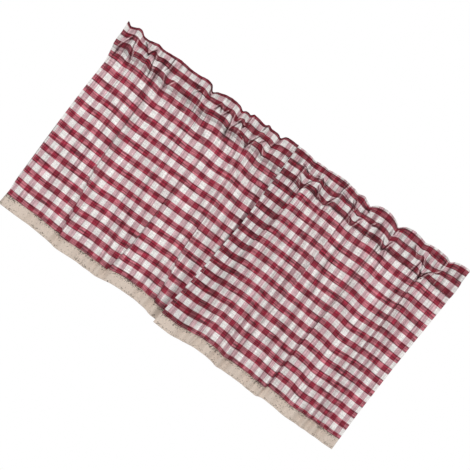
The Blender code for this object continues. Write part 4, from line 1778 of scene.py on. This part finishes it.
RIGHT = Drape(
    name="right",
    flat_width=0.571,
    lower_stitch=-19.5 * MM,
    hem=-378.0 * MM,
    left_edge=table(EdgePoint,
        (45, -1.7), (-30, -0.9), (-143, -2), (-222, -8.5), (-288, -14.6), (-352, -22.6),
        (-405, -28.5)),
    right_edge=table(EdgePoint,
        (45, 420.6), (-34, 419.6), (-95, 417), (-130, 415), (-214, 411.7), (-313, 409),
          (-405, 409)),
    edge_depths=(-1.0, 2.0),
    folds=table(FoldLine,
        (16, -4, -2.5), (31, 16, -6), (46, 36, 5), (61, 51, -7), (76, 70, 6), (92, 86, -7),
        (104, 99, -5), (116, 112, 7.5), (130, 125, -6), (143, 138, 7.5), (156, 153, -7.5),
        (173, 170, -2.5), (184, 187, 7), (199, 199, -6), (216, 213, 3.5), (231, 224, -6),
        (243, 233, 6.5), (258, 250, -6), (276, 270, 3.5), (294, 287, -7), (311, 305, -5),
        (327, 322, 7), (337, 332, -5), (346, 343, 7), (358, 355, -6), (373, 370, 7),
          (389, 387, -6)),
    columns=table(ColumnPlace,
        (12, 13, 2, -10), (31, 30, 22, 15), (52, 49, 40, 39), (65, 62, 62, 58), (80, 79, 78, 77),
        (100, 101, 100, 101), (114, 112, 117, 121), (134, 134, 137, 139), (162, 162, 165, 163),
        (185, 183, 190, 189), (204, 204, 210, 213), (229, 231, 233, 231), (262, 262, 255, 252),
        (285, 281, 279, 277), (309, 306, 302, 300), (332, 327, 324, 323), (347, 343, 340, 340),
        (360, 356, 361, 355), (381, 378, 375, 374), (405, 403, 397, 395)),
    row_marks=table(RowMark,
        (-378, 0), (-347, 29.95), (-39, 342.9), (-13, 371.35), (11, 399.8), (36, 428.25),
        (45, 438.6)),
    row_levels=(-39.0, -95.0, -151.0, -207.0, -263.5, -319.0, -347.0, -378.0),
    row_places=table(RowPlace,
        (-28, (-39, -94, -151, -208, -264.3, -320.3, -349, -381)),
        (6, (-38.6, -94, -151, -207.5, -264, -320, -348.5, -382.2)),
        (20, (-38, -95, -151.5, -208, -264, -320, -348, -381.9)),
        (34, (-38, -95, -151.2, -206, -262, -318.5, -347, -380.6)),
        (43, (-38.2, -94.5, -148.5, -204.5, -261.5, -318, -346, -378.6)),
        (57, (-33, -90, -147, -203.5, -260.5, -316.5, -343.5, -376.5)),
        (73, (-33.4, -90, -147, -203.5, -259.5, -314.5, -342, -375.5)),
        (93, (-34.6, -91, -147.5, -203, -259, -315, -342, -374)),
        (106, (-34.8, -91, -147.5, -203.5, -259.5, -315.5, -343, -375.5)),
        (124, (-35, -90.5, -147.5, -204.5, -261.5, -318, -346.5, -379.6)),
        (138, (-36.3, -91, -148, -205, -262, -319, -347, -379.6)),
        (146, (-36.6, -91.5, -148.5, -205.5, -262.5, -318, -346, -377.5)),
        (164, (-38.6, -94.5, -151, -206.5, -263, -318, -346, -377.5)),
        (180, (-40, -96, -152, -207, -263, -318.5, -346.5, -378)),
        (193, (-40.8, -96.5, -152.5, -207.5, -264, -319, -347, -378.5)),
        (213, (-39.6, -96, -152.5, -209, -265.5, -321.5, -349.5, -379.8)),
        (226, (-38.4, -95, -152, -209, -266, -321.5, -349.5, -380.4)),
        (246, (-38.4, -95, -151, -206.5, -262, -317, -344.5, -375.6)),
        (258, (-38.8, -95, -151.5, -207, -263, -317, -344.5, -376)),
        (272, (-41, -97, -153, -208.5, -264.5, -318.5, -345.5, -377.5)),
        (286, (-42.2, -98, -155, -211, -266.5, -321.5, -348.5, -378.6)),
        (300, (-42.8, -98.5, -155.5, -211, -266.5, -321, -349, -378.6)),
        (318, (-42.2, -98.5, -154, -209.5, -265.5, -320.5, -348, -378)),
        (334, (-41.5, -97, -153, -209, -264.5, -320, -348, -378)),
        (352, (-37.9, -93.5, -150.5, -207, -263.5, -320, -348, -377)),
        (372, (-39.4, -94.5, -151, -207, -263.5, -319, -347, -377)),
        (392, (-40.3, -96.5, -152.5, -208.5, -264, -319.5, -347.5, -376.5)),
        (418, (-41, -97, -153, -208.5, -264.5, -319.5, -347.5, -376))),
    steps=(
        table(StepPoint,
            (54, -16, 0), (53, -25, -4), (52.7, -34, -5), (50.5, -61, -4.5), (48.5, -89, -4),
            (45, -118, -2.5), (40, -146, -2.5), (36, -174, -2), (34, -204, 0)),
        table(StepPoint,
            (157, -18, 0), (157, -34, 1.5), (156.5, -61, 2), (156, -89, 2.5), (155, -118, 3),
            (154, -146, 2.5), (152, -174, 2), (150, -204, 1), (149, -235, 0)),
        table(StepPoint,
            (242.5, -130, 0), (240.5, -174, -1.5), (238, -204, -2.5), (236, -234, -2.5),
            (235, -262, -3), (234, -293, -3), (233, -320, -4), (232, -348, -4.5),
          (231, -378, -4.5)),
        table(StepPoint,
            (346, -18, 0), (345.6, -30, -2.5), (345, -61, -2.5), (344, -118, -2), (342, -174, -1.5),
            (341, -204, -1), (340, -235, 0)),
    ),
    heading=(
        WovenLine(45, table(LinePoint,
            (-1, 45.5), (12, 46.5), (25, 45.5), (35, 44), (42, 41.5), (50, 43.5), (60, 44.5),
            (75, 43.5), (90, 46), (104, 47), (115, 46.5), (123, 46.8), (128, 45), (140, 43),
            (150, 40.5), (156, 42), (165, 43.5), (173, 39.5), (180, 36), (185, 32.4), (189, 38),
            (196, 44), (205, 46.5), (215, 48), (228, 46.5), (240, 43.5), (248, 38.5), (254.5, 31.8),
            (260, 38), (268, 44), (286, 46.8), (300, 45), (312, 41.8), (316, 40.5), (324, 43),
            (335, 44.5), (352, 45), (368, 43.5), (374, 41), (379, 37.5), (385, 43.5), (395, 47),
            (407, 48.6), (420, 48))),
        WovenLine(36, table(LinePoint,
            (0, 37.3), (28, 37.5), (36, 36.5), (42, 35), (50, 35.4), (60, 36.6), (80, 36.4),
            (105, 37.3), (118, 37), (124, 36.5), (132, 35), (140, 32.9), (148, 31), (155, 32.3),
            (165, 31.6), (172, 29), (180, 27.5), (186, 28), (190, 31), (198, 34.4), (208, 36),
            (218, 36), (230, 35.4), (240, 34), (247, 32.2), (252, 29), (255, 28), (258, 31),
            (263, 33.8), (270, 35.4), (286, 34.5), (298, 33.8), (308, 32.9), (315, 31), (322, 32.3),
            (330, 34.8), (340, 33.5), (352, 32.5), (365, 31.6), (371, 30.4), (376, 30.4),
            (381, 32.3), (386, 34.8), (395, 37.3), (405, 38.5), (420, 39.8))),
        WovenLine(11, table(LinePoint,
            (0, 12.9), (15, 13.5), (28, 14), (40, 12.3), (50, 9.8), (57, 9.1), (63, 9.4), (69, 14),
            (76, 17), (80, 16), (85, 12.3), (92, 10.4), (102, 9.5), (112, 9.1), (117, 10),
            (122, 15.2), (130, 15.8), (137, 13.5), (145, 13), (150, 14), (155, 12), (160, 10.4),
            (168, 10.4), (174, 7.3), (180, 10.4), (200, 9.8), (207, 10.4), (212, 9), (218, 12.3),
            (228, 12), (240, 10.4), (248, 7.3), (254, 5.4), (260, 9.1), (268, 11.6), (276, 10.4),
            (285, 9.8), (295, 10.4), (303, 11), (310, 9.8), (320, 9), (327, 11.6), (331, 11),
            (335, 7.3), (342, 5.4), (352, 4), (360, 4), (366, 6.6), (371, 8), (377, 12.3),
            (395, 12.9), (405, 13.5), (420, 12.9))),
        WovenLine(-13, table(LinePoint,
            (0, -11.5), (15, -11.3), (28, -10.3), (35, -10.9), (43, -14), (49, -15.9), (52.5, -15),
            (55.5, -7), (62, -5.3), (72, -5.9), (78, -7), (84, -10.9), (92, -11.5), (100, -13.4),
            (107, -15.3), (111, -11), (116, -6.5), (125, -7), (135, -8.4), (150, -9), (156, -9.6),
            (162, -12), (170, -15.3), (175, -15.5), (180, -12.8), (188, -12), (200, -13.4),
            (208, -13.4), (213, -12.8), (222, -11.5), (232, -11.5), (240, -10.9), (244, -11.5),
            (249, -15.9), (254, -17.8), (258, -12), (264, -12), (275, -13.4), (295, -14.6),
            (308, -13.8), (320, -14), (330, -13.4), (338, -15.3), (344, -19), (347, -17),
            (351, -10.3), (358, -9.6), (365, -10.3), (375, -12.8), (385, -12.5), (400, -13.4),
            (420, -14))),
    ),
    creases=table(Crease,
        (((33, 0), (43, -6), (51, -14)), 1.5, 2.4, -1),
        (((61, 3), (56, -5), (52, -15), (51, -22)), 1.6, 3.2),
        (((84, 2), (86, -5), (106, -15)), 1.5, 2.4, -1),
        (((120, 6), (114, -5), (108, -16)), 1.6, 2.8), (((124, 46), (121, 28), (120, 6)), 1.4, 2.8),
        (((68, 18), (69, 10)), 1.8, 3.4), (((75, 20), (82, 11)), 1.7, 2.8),
        (((77, 0), (82, -7), (85, -14)), 1.6, 2.6),
        (((151, 26), (155, 17), (158, 6), (157, -8)), 1.9, 3.6),
        (((160, -3), (168, -9), (174, -17)), 1.5, 2.2, -1),
        (((184, 4), (179, -6), (175, -17)), 1.6, 2.8), (((186, 32), (190, 24)), 1.8, 2.8),
        (((204, 6), (207, -4), (209, -20)), 1.6, 1.9), (((217, 14), (211, 5)), 1.5, 2.4, -1),
        (((243, -1), (248, -9), (253, -20)), 1.6, 3, -1),
        (((261, 4), (257, -6), (254, -20)), 1.6, 3.2), (((254.8, 32), (255, 20)), 1.7, 3.4),
        (((252, 8), (256, 2)), 1.4, 2, -1), (((152, 32), (157.5, 25), (160, 12)), 1.9, 3.8),
        (((66, 21), (70, 18)), 1.8, 3.4), (((341, -6), (344, -13), (346, -22)), 1.8, 3.6),
        (((352, -6), (349, -13), (346.5, -21)), 1.6, 3), (((30, 21), (40, 17), (46, 13)), 1.6, 2.8),
        (((128, 21), (147, 17)), 1.5, 2.4), (((303, 26), (311, 11)), 1.5, 2.4),
        (((327, 17), (333, 8), (338, 1)), 1.8, 3.6),
        (((338, -2), (342, -12), (346, -24)), 1.7, 3.2, -1),
        (((362, 6), (356, -1), (347, -17)), 1.6, 2.8), (((371, 40), (371, 20)), 1.7, 3.2),
        (((377, 14), (371, 6), (363, 2)), 1.6, 2.8, -1),
        (((31, 22), (31.5, 2), (30.7, -30), (30.2, -95)), 1.4, 2.8),
        (((51.5, -18), (50.5, -61), (48.5, -89), (45, -118), (40, -146), (36, -174),
          (34, -210)), 1.6, 2.1),
        (((80, -20), (80, -130)), 1.5, 2, -1), (((110, -16), (114.5, -50), (118, -140)), 1.5, 1.9),
        (((120, -250), (115, -330)), 1.6, 2.4),
        (((157.5, -4), (156.5, -61), (155, -118), (153, -160), (150.5, -230), (148, -262),
          (144, -320), (141, -378)), 1.5, 2.2),
        (((178, -88), (186, -130), (195, -176)), 1.6, 2.8), (((209, -16), (209, -60)), 1.5, 1.5),
        (((243.5, -18), (243, -80), (242.5, -130), (240.5, -174), (238, -204), (236, -234),
          (234, -293), (232, -348), (231, -378)), 1.5, 3.4),
        (((258, -18), (264, -36), (268, -80)), 1.5, 2.6),
        (((330, 6), (328, -10), (327.5, -60), (322.4, -140)), 1.6, 3.2, -1),
        (((346.5, -20), (345, -61), (344, -118), (342, -174), (339, -280)), 1.5, 2.2),
        (((373, -6), (376.5, -90), (374, -296), (366, -330), (358, -378)), 1.5, 1.8),
        (((275, -230), (272, -378)), 1.6, 2.2), (((300, -120), (296, -378)), 1.5, 1.6, -1),
        (((207, -240), (210, -378)), 1.6, 2), (((64, -150), (58, -378)), 1.6, 2.2),
        (((10, -60), (4, -200)), 1.6, 2.2), (((24, -90), (16, -300)), 1.5, 2),
        (((398, -20), (397, -120)), 1.5, 1.6), (((85, -240), (80, -378)), 1.6, 2, -1),
        (((100, -18), (101, -110)), 1.5, 1.8), (((190, -170), (186, -300)), 1.5, 1.8),
        (((136, -60), (134, -200)), 1.5, 1.6), (((306, -40), (308, -130)), 1.5, 1.8),
        (((290, -300), (287, -378)), 1.5, 1.6)),
    wave_start=1.9,
    parting=(55.0, 10.0, -7.5),
    first_column=14.5 * MM,
    first_row=1.5 * MM,
    doubled_edge=table(EdgePoint,
        (48, 52), (-110, 50), (-250, 43), (-372, 34)),
)


def main() -> None:
    """Build the curtains and the studio."""
    logging.basicConfig(level=logging.INFO, format="%(name)s: %(message)s")
    Studio().build()
    gingham = GinghamFinish().build()
    lace = LaceFinish().build()
    thread = ThreadFinish().build()
    for curtain in (Curtain(LEFT), Curtain(RIGHT)):
        for piece in curtain.build(gingham, lace, thread):
            log.info("%s: %d faces", piece.name, len(piece.data.polygons))


if __name__ == "__main__":
    main()
